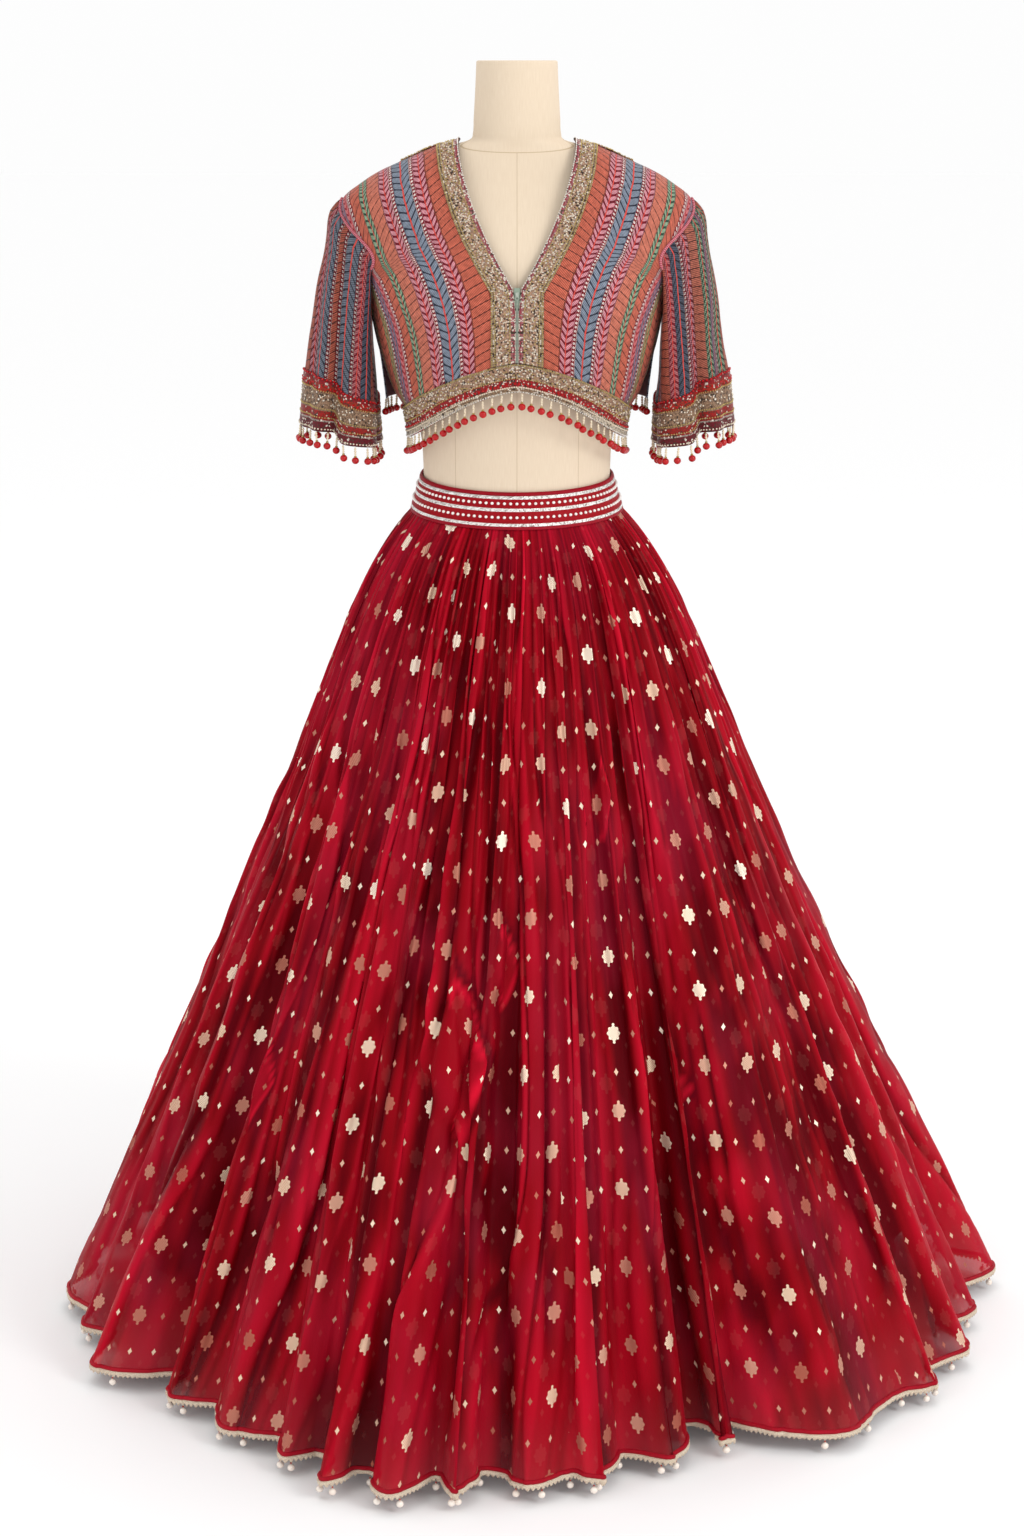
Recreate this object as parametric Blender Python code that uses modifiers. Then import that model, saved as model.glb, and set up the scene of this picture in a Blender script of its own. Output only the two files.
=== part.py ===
"""A festive skirt and short blouse set worn by a limbless dress form on a pole and a round foot.

X is the wearer's left, -Y is the front, Z is up, and the origin is under the middle of the foot.
Every cloth piece is a wall between two grids of points, worked out from a smooth surface.
"""

import math

import bmesh
import bpy
from mathutils import Vector

MM = 0.001

# Gaps and wall thicknesses
SEAM_GAP = 0.3 * MM
BLOUSE_WALL = 2.0 * MM
TRIM_WALL = 1.5 * MM
ORGANZA_WALL = 1.2 * MM
LINING_WALL = 1.0 * MM
BAND_WALL = 2.5 * MM

# Skirt: height of the hem above the floor, the waistband and the flare
HEM_HEIGHT = 30 * MM
BAND_TOP_HEIGHT = 1094 * MM
BAND_TILT = 12 * MM
BAND_DEPTH = 43 * MM
HEM_RADIUS = 600 * MM
HEM_SHIFT_X = 10 * MM
HIP_FULLNESS = 0.9
HIP_FALL = 0.12
GATHER_DEPTH = 4 * MM
GATHERS_PER_FOLD = 3
LINING_END = 0.94
LINING_INSET_WAIST = 1.6 * MM
LINING_INSET_GATHERS = 5 * MM
LINING_INSET_HEM = 55 * MM
LINING_FOLD_SHARE = 0.35

# Half width, front depth and back depth of the waist ovals
BAND_TOP_OVAL = (118.9 * MM, 93.5 * MM, 91.3 * MM)
BAND_BOTTOM_OVAL = (132.0 * MM, 109.0 * MM, 106.0 * MM)
SKIRT_TOP_OVAL = (130.5 * MM, 107.5 * MM, 104.5 * MM)

# One row for each fold of the hem, going round from the wearer's right side past the front.
# Columns: width in degrees, radius of its outer crest in mm, radius of the valley before it in mm.
FIRST_VALLEY_DEG = -94.0
FOLDS = (
    (15.0, 604, 575), (8.5, 588, 570), (16.5, 602, 552),
    (10.5, 575, 515), (12.5, 585, 540), (6.3, 604, 562), (6.7, 640, 580), (8.1, 648, 606),
    (5.1, 634, 592), (10.1, 606, 574), (6.7, 600, 578), (11.5, 572, 538), (5.0, 550, 486),
    (23.5, 606, 505), (8.0, 604, 582), (13.6, 602, 576),
    (13.1, 592, 552), (14.3, 628, 570), (13.0, 606, 574), (10.0, 598, 560),
    (12.0, 610, 566), (9.0, 590, 556), (14.0, 616, 548), (11.0, 602, 566),
    (12.0, 608, 570), (13.0, 614, 552), (10.0, 594, 562), (12.0, 612, 566),
    (14.0, 604, 548), (11.0, 596, 560), (13.0, 612, 564), (11.0, 600, 556),
)
PANEL_FOLD_COUNTS = (3, 5, 5, 3, 4, 4, 4, 4)
COLUMNS_PER_FOLD = 6
LINING_COLUMNS_PER_FOLD = 2
SKIRT_ROWS = (0.0, 0.05, 0.15, 0.36, 0.66, 1.0)
LINING_ROWS = (0.0, 0.12, 0.45, 1.0)

# Pearl drops under the skirt's lace edge
LACE_DEPTH = 6 * MM
DROP_LINK = 4 * MM
DROP_BEAD = 3.4 * MM

# Blouse outline. Heights above the floor, and distances from the middle.
NECK_POINT = (71 * MM, 1504.5 * MM)
SHOULDER_TIP_HEIGHT = 1430 * MM
UNDERARM_HEIGHT = 1322 * MM
V_BOTTOM_HEIGHT = 1330 * MM
BACK_NECK_HEIGHT = 1488 * MM
FRONT_HEM_SIDE = 1141 * MM
FRONT_HEM_PEAK = 67 * MM
BACK_HEM_HEIGHT = 1187 * MM
CENTRE_EDGE = 4.2 * MM
FRONT_SCOOP_DEG = 33.0
BACK_SCOOP_DEG = 26.0
NECK_BORDER_WIDTH = 28 * MM
BACK_BORDER_SHARE = 0.085
BACK_NECK_SHARE = 0.40
HEM_BORDER_SHARE = 0.115
UNDERARM_SHARE = 0.55
BUST_BULGE = 9 * MM

# Columns: height, half width, front depth, back depth, in mm, of the blouse's outer face.
FRONT_SECTIONS = (
    (1130, 134, 118, 110), (1175, 139, 120, 112), (1200, 153, 126, 112), (1250, 170, 136, 109),
    (1300, 181, 141, 105), (1322, 186, 139, 104), (1350, 196, 132, 103), (1400, 211, 108, 97),
    (1430, 212, 88, 87), (1450, 188, 75, 77), (1464, 165, 67, 70), (1478, 133, 60, 64),
    (1493, 98, 54, 60), (1500, 73, 50, 58), (1510, 62, 48, 56),
)
BACK_SECTIONS = ((1130, 158, 118, 121), (1187, 162, 120, 118), (1215, 165, 126, 113)) + FRONT_SECTIONS[3:]

# Columns: height, half width, front depth, back depth, in mm, of the dress form's torso and neck.
FORM_SECTIONS = (
    (800, 148, 106, 116), (880, 154, 110, 121), (960, 147, 108, 116), (1020, 127, 99, 98),
    (1060, 117, 91.5, 89.3), (1082, 116, 90.6, 88.4), (1106, 116, 90.8, 88.4), (1140, 118.5, 94, 88),
    (1200, 132, 106, 91), (1260, 151, 123, 94), (1310, 167, 130, 96), (1360, 180, 120, 95),
    (1400, 195, 96, 86), (1423, 204.5, 76, 74), (1440, 197.5, 63, 66), (1455, 175.7, 54, 59),
    (1470, 144.5, 49, 55), (1485, 107.5, 46, 51), (1493, 84, 46, 49), (1500, 58, 47.5, 49),
    (1508, 53.5, 49, 49), (1525, 52.5, 50, 50),
    (1560, 50.5, 50, 50), (1594, 49, 49, 49),
)
FORM_SIDES = 24
POLE_RADIUS = 12.5 * MM
FOOT_RADIUS = 170 * MM
FOOT_THICKNESS = 8 * MM
SOCKET_RADIUS = 22 * MM
SOCKET_HEIGHT = 45 * MM
POLE_SEAT = 4 * MM

# Sleeve: cuff oval, its middle, and the folds along the sleeve.
CUFF_MIDDLE_X = 218 * MM
CUFF_HALF_X = 50 * MM
CUFF_HALF_Y = 62 * MM
CUFF_HEIGHT = 1148 * MM
CUFF_TILT = 7 * MM
SLEEVE_HANG = 0.65
SLEEVE_COLUMNS = 24
SLEEVE_ROWS = (0.0, 0.12, 0.32, 0.54, 0.745, 1.0)
SLEEVE_SHIFT = 3.5 * MM
# Columns: place round the sleeve (0 outside, 0.25 front, 0.5 inside, 0.75 back), depth in mm, width.
SLEEVE_FOLDS = ((0.22, -15, 0.045), (0.36, 7, 0.05), (0.62, 6, 0.05), (0.76, -11, 0.05), (0.92, 5, 0.05))

# Bead fringe of the blouse
FRINGE_DROP = 0.8 * MM
FRINGE_STRIP = 2.5 * MM
FRINGE_STRAND = 12 * MM
FRINGE_BEAD = 4.2 * MM
FRONT_BEADS = 28
BACK_BEADS = 26
CUFF_BEADS = 20

COLOURS = {
    "organza": ((0.52, 0.01, 0.03), 0.5, 0.0),
    "lining": ((0.40, 0.01, 0.03), 0.6, 0.0),
    "waistband": ((0.55, 0.02, 0.04), 0.6, 0.0),
    "stripes": ((0.62, 0.20, 0.18), 0.8, 0.0),
    "gold": ((0.52, 0.42, 0.24), 0.5, 0.3),
    "beads": ((0.60, 0.01, 0.02), 0.2, 0.0),
    "lace": ((0.85, 0.76, 0.66), 0.6, 0.0),
    "zip": ((0.62, 0.70, 0.62), 0.6, 0.0),
    "linen": ((0.80, 0.70, 0.56), 0.9, 0.0),
    "steel": ((0.30, 0.30, 0.31), 0.35, 1.0),
}


def start_empty():
    for old in list(bpy.data.objects):
        bpy.data.objects.remove(old)
    parts = bpy.data.collections.new("skirt_and_blouse_on_form")
    bpy.context.scene.collection.children.link(parts)
    return parts


def material(name):
    found = bpy.data.materials.get(name)
    if found:
        return found
    colour, roughness, metallic = COLOURS[name]
    made = bpy.data.materials.new(name)
    made.use_nodes = True
    shader = made.node_tree.nodes["Principled BSDF"]
    shader.inputs["Base Color"].default_value = (*colour, 1.0)
    shader.inputs["Roughness"].default_value = roughness
    shader.inputs["Metallic"].default_value = metallic
    return made


def add_object(name, mesh, finish):
    mesh.materials.append(material(finish))
    made = bpy.data.objects.new(name, mesh)
    PARTS.objects.link(made)
    mesh.shade_smooth()
    mesh.set_sharp_from_angle(angle=math.radians(40))
    return made


def section(rows, column, height):
    """The value of a table's column at a height, on a smooth curve through its rows."""
    places = [row[0] * MM for row in rows]
    values = [row[column] * MM for row in rows]
    last = len(rows) - 1
    k = max(0, min(last - 1, sum(1 for p in places if p <= height) - 1))
    span = places[k + 1] - places[k]
    part = (height - places[k]) / span

    def slope(i):
        low, high = max(0, i - 1), min(last, i + 1)
        return (values[high] - values[low]) / (places[high] - places[low])

    p2, p3 = part * part, part ** 3
    return (
        (2 * p3 - 3 * p2 + 1) * values[k]
        + (p3 - 2 * p2 + part) * span * slope(k)
        + (3 * p2 - 2 * p3) * values[k + 1]
        + (p3 - p2) * span * slope(k + 1)
    )


def signed_power(value, power):
    return math.copysign(abs(value) ** power, value)


def oval(angle, half, front, back, fullness=1.0):
    """A point of an oval. Angle 0 is the front, 90 degrees is +X, and fullness under 1 is squarer."""
    depth = front if math.cos(angle) > 0 else back
    return Vector((
        half * signed_power(math.sin(angle), fullness),
        -depth * signed_power(math.cos(angle), fullness),
        0.0,
    ))


def moved_out(surface, p, q, out):
    """The surface's point at (p, q), moved out along its normal.

    Out is where q goes down while p goes to the right, seen from outside.
    """
    step = 0.004
    across = surface(p + step, q) - surface(p - step, q)
    along = surface(p, q + step) - surface(p, q - step)
    normal = along.cross(across).normalized()
    return surface(p, q) + normal * out


def wall(name, outer, inner, finish, closed=False):
    """A closed wall between two grids of the same size, given as rows of points."""
    rows, columns = len(outer), len(outer[0])
    points = [p for row in outer for p in row] + [p for row in inner for p in row]
    side = rows * columns
    wide = columns if closed else columns - 1
    faces = []

    def add(a, b, c, d):
        """Two triangles, with their shared edge the other way on the wearer's right side."""
        if points[a].x + points[c].x < 0:
            a, b, c, d = b, c, d, a
        faces.append((a, b, c))
        faces.append((a, c, d))

    for r in range(rows - 1):
        for c in range(wide):
            a, b = r * columns + c, r * columns + (c + 1) % columns
            add(a, b, b + columns, a + columns)
            add(side + a, side + a + columns, side + b + columns, side + b)
    for r in (0, rows - 1):
        for c in range(wide):
            a, b = r * columns + c, r * columns + (c + 1) % columns
            add(a, side + a, side + b, b)
    if not closed:
        for c in (0, columns - 1):
            for r in range(rows - 1):
                a, b = r * columns + c, (r + 1) * columns + c
                add(a, b, side + b, side + a)
    mesh = bpy.data.meshes.new(name)
    mesh.from_pydata(points, [], faces)
    tidy = bmesh.new()
    tidy.from_mesh(mesh)
    bmesh.ops.recalc_face_normals(tidy, faces=tidy.faces)
    tidy.to_mesh(mesh)
    tidy.free()
    return add_object(name, mesh, finish)


def skins(surface, places, out, thick, facing=1):
    """Outer and inner points of a wall on a surface. Places are rows of (p, q).

    Facing is -1 where q goes up while p goes to the right, seen from outside, or the reverse.
    """
    outer = [[moved_out(surface, p, q, facing * (out + thick)) for p, q in row] for row in places]
    inner = [[moved_out(surface, p, q, facing * out) for p, q in row] for row in places]
    for row in (0, -1):
        for a, b in zip(outer[row], inner[row]):
            b.z = a.z
    return outer, inner


def hang_beads(strip, root_count, profile, every=1):
    """Grows a strand and its bead from the strip's bottom faces, so that they are one solid.

    A row of profile is the drop below the strip and the half size there. The last one is the tip.
    """
    mesh = strip.data
    body = bmesh.new()
    body.from_mesh(mesh)
    bmesh.ops.join_triangles(
        body, faces=body.faces, angle_face_threshold=3.2, angle_shape_threshold=3.2,
        cmp_seam=False, cmp_sharp=False, cmp_uvs=False, cmp_vcols=False, cmp_materials=False,
    )
    body.faces.ensure_lookup_table()
    bottoms = [f for f in body.faces if f.normal.z < -0.7 and len(f.verts) == 4]
    bottoms.sort(key=lambda f: math.atan2(f.calc_center_median().y, f.calc_center_median().x))
    assert len(bottoms) == root_count, (strip.name, len(bottoms), root_count)
    for face in bottoms[::every]:
        middle = face.calc_center_median()
        longest = max(face.edges, key=lambda e: e.calc_length())
        along = longest.verts[1].co - longest.verts[0].co
        along.z = 0.0
        along.normalize()
        out = along.cross(Vector((0, 0, 1)))
        corners = [
            (math.copysign(1, (v.co - middle).dot(along)), math.copysign(1, (v.co - middle).dot(out)))
            for v in face.verts
        ]
        for drop, half in profile[:-1]:
            face = bmesh.ops.extrude_discrete_faces(body, faces=[face])["faces"][0]
            for v, (a, b) in zip(face.verts, corners):
                v.co = middle + (along * a + out * b) * half - Vector((0, 0, drop))
        face = bmesh.ops.extrude_discrete_faces(body, faces=[face])["faces"][0]
        tip = middle - Vector((0, 0, profile[-1][0]))
        bmesh.ops.pointmerge(body, verts=list(face.verts), merge_co=tip)
    body.to_mesh(mesh)
    body.free()
    mesh.shade_smooth()
    mesh.set_sharp_from_angle(angle=math.radians(40))


def bead_profile(tab, strand, bead):
    """Drops and half sizes of a strand with a bead at its end."""
    thread = 0.7 * MM
    top = tab + strand
    return ((tab, thread), (top, thread), (top + bead, bead), (top + 2 * bead, 0.0))


# Skirt surface

def fold_starts():
    starts = [FIRST_VALLEY_DEG]
    for width, _, _ in FOLDS:
        starts.append(starts[-1] + width)
    return starts


FOLD_STARTS = fold_starts()


def skirt_profile(fall):
    """How far the flare has grown, from 0 at the waist to 1 at the hem."""
    return fall * (1 + HIP_FULLNESS * math.exp(-fall / HIP_FALL))


def skirt_point(place, fall, fold_share=1.0, gather=GATHER_DEPTH):
    """A point of the skirt. Place counts folds round the hem, and fall is 0 at the waist, 1 at the hem."""
    k = math.floor(place)
    part = place - k
    turns, k = divmod(k, len(FOLDS))
    width, crest, valley = FOLDS[k]
    next_valley = FOLDS[(k + 1) % len(FOLDS)][2]
    hem_deg = FOLD_STARTS[k] + width * part + 360 * turns
    even_deg = FIRST_VALLEY_DEG + 360 * place / len(FOLDS)
    deg = hem_deg + (even_deg - hem_deg) * 0.5 * (1 - fall) ** 2
    angle = math.radians(deg)
    floor_radius = (valley + (next_valley - valley) * part) * MM
    swell = max(0.0, math.sin(math.pi * part)) ** 1.2
    hem_radius = floor_radius + (crest * MM - floor_radius) * swell * fold_share
    grown = skirt_profile(max(0.0, fall))
    half, front, back = (top + (HEM_RADIUS - top) * grown for top in SKIRT_TOP_OVAL)
    base = oval(angle, half, front, back)
    base *= 1 + (hem_radius / HEM_RADIUS - 1) * max(0.0, fall) ** 0.7
    fade = math.exp(-fall / 0.3) * (1 - math.exp(-max(0.0, fall) / 0.03))
    crimp = -gather * math.cos(GATHERS_PER_FOLD * 2 * math.pi * part) * fade
    base += base.normalized() * crimp
    top_height = BAND_TOP_HEIGHT - BAND_DEPTH - SEAM_GAP - BAND_TILT * math.cos(angle)
    base.x += HEM_SHIFT_X * fall
    base.z = top_height + (HEM_HEIGHT - top_height) * fall
    return base


def lining_point(place, fall):
    point = skirt_point(place, fall, LINING_FOLD_SHARE, gather=0.0)
    level = Vector((point.x, point.y, 0.0))
    below_gathers = 1 - math.exp(-fall / 0.03)
    inset = LINING_INSET_WAIST + LINING_INSET_GATHERS * below_gathers + LINING_INSET_HEM * fall
    return point - level.normalized() * inset


def spread(first, last, steps):
    return [first + (last - first) * i / steps for i in range(steps + 1)]


def open_seam(rows):
    """Draws the first and last columns in, so that neighbouring pieces stay a seam's gap apart."""
    for row in rows:
        row[0] = row[0] + (row[1] - row[0]).normalized() * 2 * SEAM_GAP
        row[-1] = row[-1] + (row[-2] - row[-1]).normalized() * 2 * SEAM_GAP
    return rows


def skirt_panels():
    first = 0
    for number, count in enumerate(PANEL_FOLD_COUNTS, 1):
        last = first + count
        columns = spread(first, last, count * COLUMNS_PER_FOLD)
        places = [[(p, q) for p in columns] for q in SKIRT_ROWS]
        outer, inner = skins(skirt_point, places, -ORGANZA_WALL, ORGANZA_WALL)
        wall(f"skirt_panel_{number}", open_seam(outer), open_seam(inner), "organza")
        columns = spread(first, last, count * LINING_COLUMNS_PER_FOLD)
        places = [[(p, q * LINING_END) for p in columns] for q in LINING_ROWS]
        outer, inner = skins(lining_point, places, -LINING_WALL, LINING_WALL)
        wall(f"skirt_lining_{number}", open_seam(outer), open_seam(inner), "lining")
        first = last


def waistband():
    def band(angle, drop):
        high = oval(angle, *BAND_TOP_OVAL)
        low = oval(angle, *BAND_BOTTOM_OVAL)
        point = high + (low - high) * drop
        point.z = BAND_TOP_HEIGHT - BAND_TILT * math.cos(angle) - BAND_DEPTH * drop
        return point

    columns = 40
    places = [[(2 * math.pi * i / columns, drop) for i in range(columns)] for drop in (0.0, 1.0)]
    outer, inner = skins(band, places, -BAND_WALL, BAND_WALL)
    wall("skirt_waistband", outer, inner, "waistband", closed=True)


def hem_lace():
    columns = COLUMNS_PER_FOLD * len(FOLDS)
    places = [i / COLUMNS_PER_FOLD for i in range(columns)]
    rows = ((SEAM_GAP, 0.0), (SEAM_GAP + LACE_DEPTH, 0.0))

    def edge(place, out):
        point = moved_out(skirt_point, place, 1.0, 0.0)
        aside = moved_out(skirt_point, place, 1.0, 1.0) - point
        aside.z = 0.0
        return point + aside.normalized() * out

    outer = [[edge(p, 0.0) - Vector((0, 0, drop)) for p in places] for drop, _ in rows]
    inner = [[edge(p, -TRIM_WALL) - Vector((0, 0, drop)) for p in places] for drop, _ in rows]
    strip = wall("skirt_hem_lace", outer, inner, "lace", closed=True)
    tab = 1.5 * MM
    top = tab + DROP_LINK
    profile = ((top, 0.8 * MM), (top + DROP_BEAD, DROP_BEAD), (top + 2 * DROP_BEAD, 0.0))
    hang_beads(strip, columns, profile, every=2)


# Blouse surface

def bodice(sections):
    """The blouse's outer face, as a function of the angle and the height."""
    def surface(angle, height):
        half, front, back = (section(sections, column, height) for column in (1, 2, 3))
        point = oval(angle, half, front, back, 0.9)
        if math.cos(angle) > 0:
            lean = abs(math.degrees(angle)) - 34
            bust = math.exp(-((lean / 20) ** 2) - ((height - 1.305) / 0.045) ** 2)
            point += point.normalized() * BUST_BULGE * bust
        point.z = height
        return point

    return surface


def coons(left, right, bottom, top):
    """A patch between four edges, each a function from 0 to 1 that gives (angle, height)."""
    def patch(s, t):
        a = [x * (1 - s) + y * s for x, y in zip(left(t), right(t))]
        b = [x * (1 - t) + y * t for x, y in zip(bottom(s), top(s))]
        corners = zip(left(0), right(0), left(1), right(1))
        c = [
            (1 - s) * (1 - t) * c00 + s * (1 - t) * c10 + (1 - s) * t * c01 + s * t * c11
            for c00, c10, c01, c11 in corners
        ]
        return a[0] + b[0] - c[0], a[1] + b[1] - c[1]

    return patch


def side_and_armhole(t, hem, scoop_deg):
    """The edge from the side hem up the side seam and round the armhole to the shoulder tip."""
    if t < UNDERARM_SHARE:
        return math.pi / 2, hem + (UNDERARM_HEIGHT - hem) * t / UNDERARM_SHARE
    q = (t - UNDERARM_SHARE) / (1 - UNDERARM_SHARE)
    scoop = scoop_deg * max(0.0, math.sin(math.pi * q ** 0.72)) ** 1.5
    return math.radians(90 - scoop), UNDERARM_HEIGHT + (SHOULDER_TIP_HEIGHT - UNDERARM_HEIGHT) * q


def front_side(t):
    return side_and_armhole(t, FRONT_HEM_SIDE, FRONT_SCOOP_DEG)


def back_side(t):
    return side_and_armhole(t, BACK_HEM_HEIGHT, BACK_SCOOP_DEG)


def angle_at(x, height):
    half = section(FRONT_SECTIONS, 1, height)
    return math.asin(min(1.0, (x / half) ** (1 / 0.9)))


def front_hem_height(angle):
    return FRONT_HEM_SIDE + FRONT_HEM_PEAK * (1 - abs(math.sin(angle)) ** 1.3)


def front_patch():
    neck_x, neck_z = NECK_POINT
    straight = 0.40

    def centre_and_neck(t):
        low = front_hem_height(0)
        if t < straight:
            height = low + (V_BOTTOM_HEIGHT - low) * t / straight
            return angle_at(CENTRE_EDGE, height), height
        q = (t - straight) / (1 - straight)
        height = V_BOTTOM_HEIGHT + (neck_z - V_BOTTOM_HEIGHT) * q
        if q > 0.999:
            return math.pi / 2, neck_z
        x = CENTRE_EDGE + (neck_x - CENTRE_EDGE) * (1 - (1 - q) ** 1.6)
        return angle_at(x, height), height

    def hem(s):
        angle = angle_at(CENTRE_EDGE, front_hem_height(0)) * (1 - s) + math.pi / 2 * s
        return angle, front_hem_height(angle)

    def shoulder(s):
        return math.pi / 2, neck_z + (SHOULDER_TIP_HEIGHT - neck_z) * s

    return coons(centre_and_neck, front_side, hem, shoulder)


def back_patch():
    """The back's patch, with its angle measured from the middle of the back."""
    neck_share, neck_z = BACK_NECK_SHARE, NECK_POINT[1]

    def centre(t):
        return 0.0, BACK_HEM_HEIGHT + (BACK_NECK_HEIGHT - BACK_HEM_HEIGHT) * t

    def hem(s):
        return math.pi / 2 * s, BACK_HEM_HEIGHT

    def neck_and_shoulder(s):
        if s < neck_share:
            q = s / neck_share
            return math.pi / 2 * q, BACK_NECK_HEIGHT + (neck_z - BACK_NECK_HEIGHT) * q * q
        q = (s - neck_share) / (1 - neck_share)
        return math.pi / 2, neck_z + (SHOULDER_TIP_HEIGHT - neck_z) * q

    return coons(centre, back_side, hem, neck_and_shoulder)


ARMHOLE_STOPS = (0.0, 0.17, 0.34, 0.51, 0.68, 0.83, 0.925, 1.0)
SIDE_STEPS = 3


def armhole_shares():
    return [UNDERARM_SHARE + (1 - UNDERARM_SHARE) * stop for stop in ARMHOLE_STOPS]


def patch_rows(border):
    """Row places from the hem to the shoulder, with a row at the border and at the underarm."""
    low = [0.0, border] + spread(border, UNDERARM_SHARE, SIDE_STEPS)[1:]
    return low + armhole_shares()[1:]


def mirrored(rows):
    return [[Vector((-p.x, p.y, p.z)) for p in reversed(row)] for row in rows]


def front_row(patch, surface, t):
    """A row of (angle, height) on a front, with its first step as wide as the neck border."""
    line = [surface(*patch(s, t)) for s in spread(0.0, 1.0, 12)]
    length = sum((b - a).length for a, b in zip(line, line[1:]))
    return [patch(s, t) for s in [0.0] + spread(NECK_BORDER_WIDTH / length, 1.0, 7)]


def part_from(rows, along_y):
    """Moves what lies on the side and shoulder seams off them, towards the front or the back."""
    for row in rows:
        row[-1] = row[-1] + Vector((0, along_y, 0))
    rows[-1] = [p + Vector((0, along_y, 0)) if abs(p.y) < SEAM_GAP else p for p in rows[-1]]
    return rows


def blouse_front():
    """Two fronts with their borders. Returns the lower edge, from the right side to the left."""
    surface = bodice(FRONT_SECTIONS)
    patch = front_patch()
    places = [front_row(patch, surface, t) for t in patch_rows(HEM_BORDER_SHARE)]
    above_hem = front_row(patch, surface, HEM_BORDER_SHARE + 0.002)
    border = [row[:2] for row in [above_hem] + places[2:]]

    def faces(rows, out, thick):
        return [part_from(skin, -2 * SEAM_GAP) for skin in skins(surface, rows, out, thick, -1)]

    outer, inner = faces(places, -BLOUSE_WALL, BLOUSE_WALL)
    wall("blouse_front_left", outer, inner, "stripes")
    wall("blouse_front_right", mirrored(outer), mirrored(inner), "stripes")
    outer, inner = faces(border, SEAM_GAP, TRIM_WALL)
    wall("blouse_neck_border_left", outer, inner, "gold")
    wall("blouse_neck_border_right", mirrored(outer), mirrored(inner), "gold")
    outer, inner = faces(places[:2], SEAM_GAP, TRIM_WALL)
    both = [[m + r for m, r in zip(mirrored(rows), rows)] for rows in (outer, inner)]
    wall("blouse_hem_border", *both, "gold")
    edge = faces(places[:1], -BLOUSE_WALL, BLOUSE_WALL)[0]
    return mirrored(edge)[0] + edge[0]


def blouse_back():
    """The back in one piece with its neck border. Returns its lower edge, from right to left."""
    surface = bodice(BACK_SECTIONS)
    patch = back_patch()

    def back_surface(turn, height):
        return surface(math.pi - turn, height)

    end = BACK_NECK_SHARE + NECK_BORDER_WIDTH / 0.26
    columns = spread(0.0, BACK_NECK_SHARE, 4) + spread(end, 1.0, 4)
    places = [[patch(s, t) for s in columns] for t in patch_rows(HEM_BORDER_SHARE)]
    share = [BACK_BORDER_SHARE * (0.3 if s == end else 1.0) for s in columns]
    places[-2] = [patch(s, 1 - depth) for s, depth in zip(columns, share)]

    def whole(rows):
        part_from(rows, 2 * SEAM_GAP)
        return [m[:-1] + r for m, r in zip(mirrored(rows), rows)]

    outer, inner = skins(back_surface, places, -BLOUSE_WALL, BLOUSE_WALL)
    outer = whole(outer)
    wall("blouse_back", outer, whole(inner), "stripes")
    edge = outer[0]
    neck = [row[:6] for row in places[-2:]]
    outer, inner = skins(back_surface, neck, SEAM_GAP, TRIM_WALL)
    wall("blouse_neck_border_back", whole(outer), whole(inner), "gold")
    return edge


def armhole_loop():
    """Points round the left armhole: shoulder tip, front, underarm, back. They lie on the panels' edges."""
    surface = bodice(FRONT_SECTIONS)
    front = [surface(*front_side(t)) for t in armhole_shares()]
    back = []
    for t in armhole_shares():
        angle, height = back_side(t)
        back.append(surface(math.pi - angle, height))
    loop = list(reversed(front)) + back[1:-1]
    double = []
    for a, b in zip(loop, loop[1:] + loop[:1]):
        double += [a, (a + b) / 2]
    return double


ARMHOLE = armhole_loop()


def sleeve_point(turn, fall):
    """A point of the left sleeve. Turn goes round it from the outside past the front."""
    place = (turn % 1.0) * len(ARMHOLE)
    k = int(place)
    start = ARMHOLE[k].lerp(ARMHOLE[(k + 1) % len(ARMHOLE)], place - k)
    start = start + Vector((SLEEVE_SHIFT, 0, 0))
    angle = 2 * math.pi * turn
    fold = 0.0
    for centre, depth, width in SLEEVE_FOLDS:
        away = (turn - centre + 0.5) % 1.0 - 0.5
        fold += depth * MM * math.exp(-((away / width) ** 2))
    end = Vector((
        CUFF_MIDDLE_X + (CUFF_HALF_X + fold) * math.cos(angle),
        -(CUFF_HALF_Y + fold) * math.sin(angle),
        CUFF_HEIGHT + CUFF_TILT * math.cos(angle),
    ))
    hang = max(0.0, fall) ** SLEEVE_HANG
    point = start.lerp(end, hang)
    point.z = start.z + (end.z - start.z) * fall
    return point


def sleeves():
    """Both sleeves and their cuff borders. Returns the lower edge of the left one."""
    turns = [i / SLEEVE_COLUMNS for i in range(SLEEVE_COLUMNS)]
    pieces = (
        ("blouse_sleeve", SLEEVE_ROWS, -BLOUSE_WALL, BLOUSE_WALL, "stripes"),
        ("blouse_cuff", SLEEVE_ROWS[-2:], SEAM_GAP, TRIM_WALL, "gold"),
    )
    for name, falls, out, thick, finish in pieces:
        places = [[(turn, fall) for turn in turns] for fall in falls]
        outer, inner = skins(sleeve_point, places, out, thick, -1)
        wall(f"{name}_left", outer, inner, finish, closed=True)
        wall(f"{name}_right", mirrored(outer), mirrored(inner), finish, closed=True)
        if finish == "stripes":
            edge = outer[-1]
    return edge


def even_line(points, count):
    """Points spaced evenly along a polyline."""
    lengths = [0.0]
    for a, b in zip(points, points[1:]):
        lengths.append(lengths[-1] + (b - a).length)
    line = []
    for i in range(count + 1):
        want = lengths[-1] * i / count
        k = min(len(points) - 2, max(0, sum(1 for n in lengths if n <= want) - 1))
        part = (want - lengths[k]) / (lengths[k + 1] - lengths[k])
        line.append(points[k].lerp(points[k + 1], min(1.0, part)))
    return line


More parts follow.
